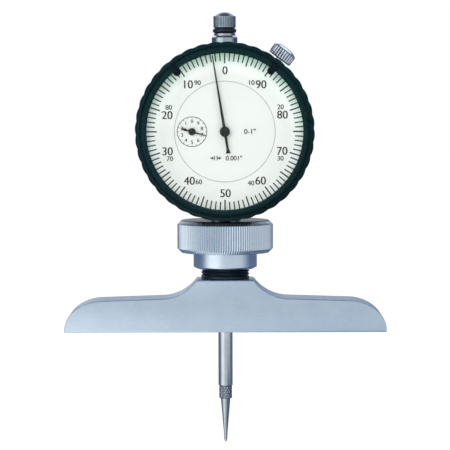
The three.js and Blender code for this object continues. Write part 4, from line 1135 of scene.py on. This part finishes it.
def make_floor():
    """White to the eye but for the object's shadow. Gloss sees the panels in it."""
    body = bmesh.new()
    bmesh.ops.create_grid(body, x_segments=1, y_segments=1, size=3)
    mesh = mesh_from("floor", body)
    floor = bpy.data.objects.new("floor", mesh)
    floor.location.z = (NEEDLE_TIP - 0.1) * MM
    scene.collection.objects.link(floor)
    material, tree, shader = finish_base("pale floor", (0.2, 0.2, 0.2), 0.0, 0.9)
    calc = functools.partial(maths, tree)
    path = node(tree, "ShaderNodeLightPath").outputs
    seen = calc("MAXIMUM", path["Is Camera Ray"], path["Is Transmission Ray"])
    clear = calc("MULTIPLY", seen, 0.95)
    x, y, _ = own_place(tree)
    reach = distance(tree, x, y)
    near = smooth_step(tree, reach, 0.08, 0.16, 1.0, 0.0)
    right = smooth_step(tree, calc("DIVIDE", x, reach), 0.3, 0.6, 0.0, 1.0)
    shade = calc("MULTIPLY", calc("MULTIPLY", near, right), 0.85)
    share = calc("SUBTRACT", FLOOR_SHARE, shade)
    round_about = gloss_colour(tree, calc("MULTIPLY", light_round(tree, x, y), share))
    glow = add(tree, "ShaderNodeEmission", {"Strength": clear})
    shine = add(tree, "ShaderNodeEmission", {
        "Color": round_about, "Strength": path["Is Glossy Ray"]})
    lit = add(tree, "ShaderNodeAddShader", {0: glow, 1: shine})
    to_surface(tree, add(tree, "ShaderNodeAddShader", {0: shader.outputs[0], 1: lit}))
    mesh.materials.append(material)


def make_world():
    """White to the eye. Gloss sees the panels, dark flanks and ceiling, and the white backdrop."""
    world = bpy.data.worlds.new("studio")
    scene.world = world
    world.use_nodes = True
    tree = world.node_tree
    calc = functools.partial(maths, tree)
    direction = node(tree, "ShaderNodeTexCoord").outputs["Generated"]
    x, y, height = node(tree, "ShaderNodeSeparateXYZ", {0: direction}).outputs
    ceiling = smooth_step(tree, height, 0.25, 0.65, 1.0, CEILING_SHARE)
    under_ceiling = calc("MULTIPLY", light_round(tree, x, y), ceiling)
    above_base = smooth_step(tree, height, 0.045, 0.085, 0, 1)
    backdrop = calc("MULTIPLY", smooth_step(tree, y, 0.6, 0.85, 0.0, BACKDROP_GLOW), above_base)
    behind = calc("MULTIPLY", backdrop, smooth_step(tree, x, 0.05, 0.15, 1.0, 0.3))
    gloss = gloss_colour(tree, calc("MAXIMUM", under_ceiling, behind))
    path = node(tree, "ShaderNodeLightPath").outputs
    clear = calc("MAXIMUM", path["Is Camera Ray"], path["Is Transmission Ray"])
    white = add(tree, "ShaderNodeBackground", {"Color": (*WHITE, 1), "Strength": 1.0})
    shine = add(tree, "ShaderNodeBackground", {"Color": gloss, "Strength": 1.0})
    room = tree.nodes["Background"]
    room.inputs["Color"].default_value = (*WHITE, 1)
    room.inputs["Strength"].default_value = ROOM_GLOW
    unseen = add(tree, "ShaderNodeMixShader", {
        0: path["Is Glossy Ray"], 1: room.outputs[0], 2: shine})
    whole = add(tree, "ShaderNodeMixShader", {0: clear, 1: unseen, 2: white})
    to_surface(tree, whole, "World Output")


def lamp(name, where, size, power, in_gloss=False):
    """A square lamp aimed at the middle of the gauge."""
    light = bpy.data.lights.new(name, "AREA")
    light.size = size
    light.energy = power
    made = bpy.data.objects.new(name, light)
    made.visible_glossy = in_gloss
    made.location = where
    made.rotation_mode = "QUATERNION"
    aim = Vector((0, 0, 0.04)) - Vector(where)
    made.rotation_quaternion = aim.to_track_quat("-Z", "Y")
    scene.collection.objects.link(made)


def make_studio():
    make_floor()
    make_world()
    lamp("above", (-0.25, -0.7, 0.5), 0.4, 1.6)
    lamp("left", (-0.8, -0.42, 0.22), 0.35, 0.8)
    lamp("right", (0.6, -0.8, 0.1), 0.4, 0.35)
    lamp("behind_left", (-0.4, 0.6, 0.6), 0.4, 0.6, True)
    lamp("behind_right", (0.4, 0.6, 0.6), 0.4, 0.6, True)


def make_camera():
    """The photograph's view: from far in front of the dial, tilted down a little."""
    camera = bpy.data.cameras.new("camera")
    camera.sensor_width = 36.0
    camera.lens = 200.0
    camera.clip_start = 0.01
    eye = bpy.data.objects.new("camera", camera)
    eye.location = (0.0001, -0.7915, 0.0808)
    eye.rotation_euler = (math.radians(90 - 3.425), math.radians(0.17), 0)
    scene.collection.objects.link(eye)
    scene.camera = eye


make_camera()
make_studio()
make_base()
make_clamp()
make_case()
make_back_cover()
make_clamp_block()
make_stem()
make_spindle()
make_contact_point()
make_cap()
make_return_spring()
make_bezel()
make_dials()
make_outer_print()
make_inner_print()
make_hands()
make_limit_hands()
make_bezel_clamp()
dress_solids()

scene.view_settings.view_transform = "Standard"
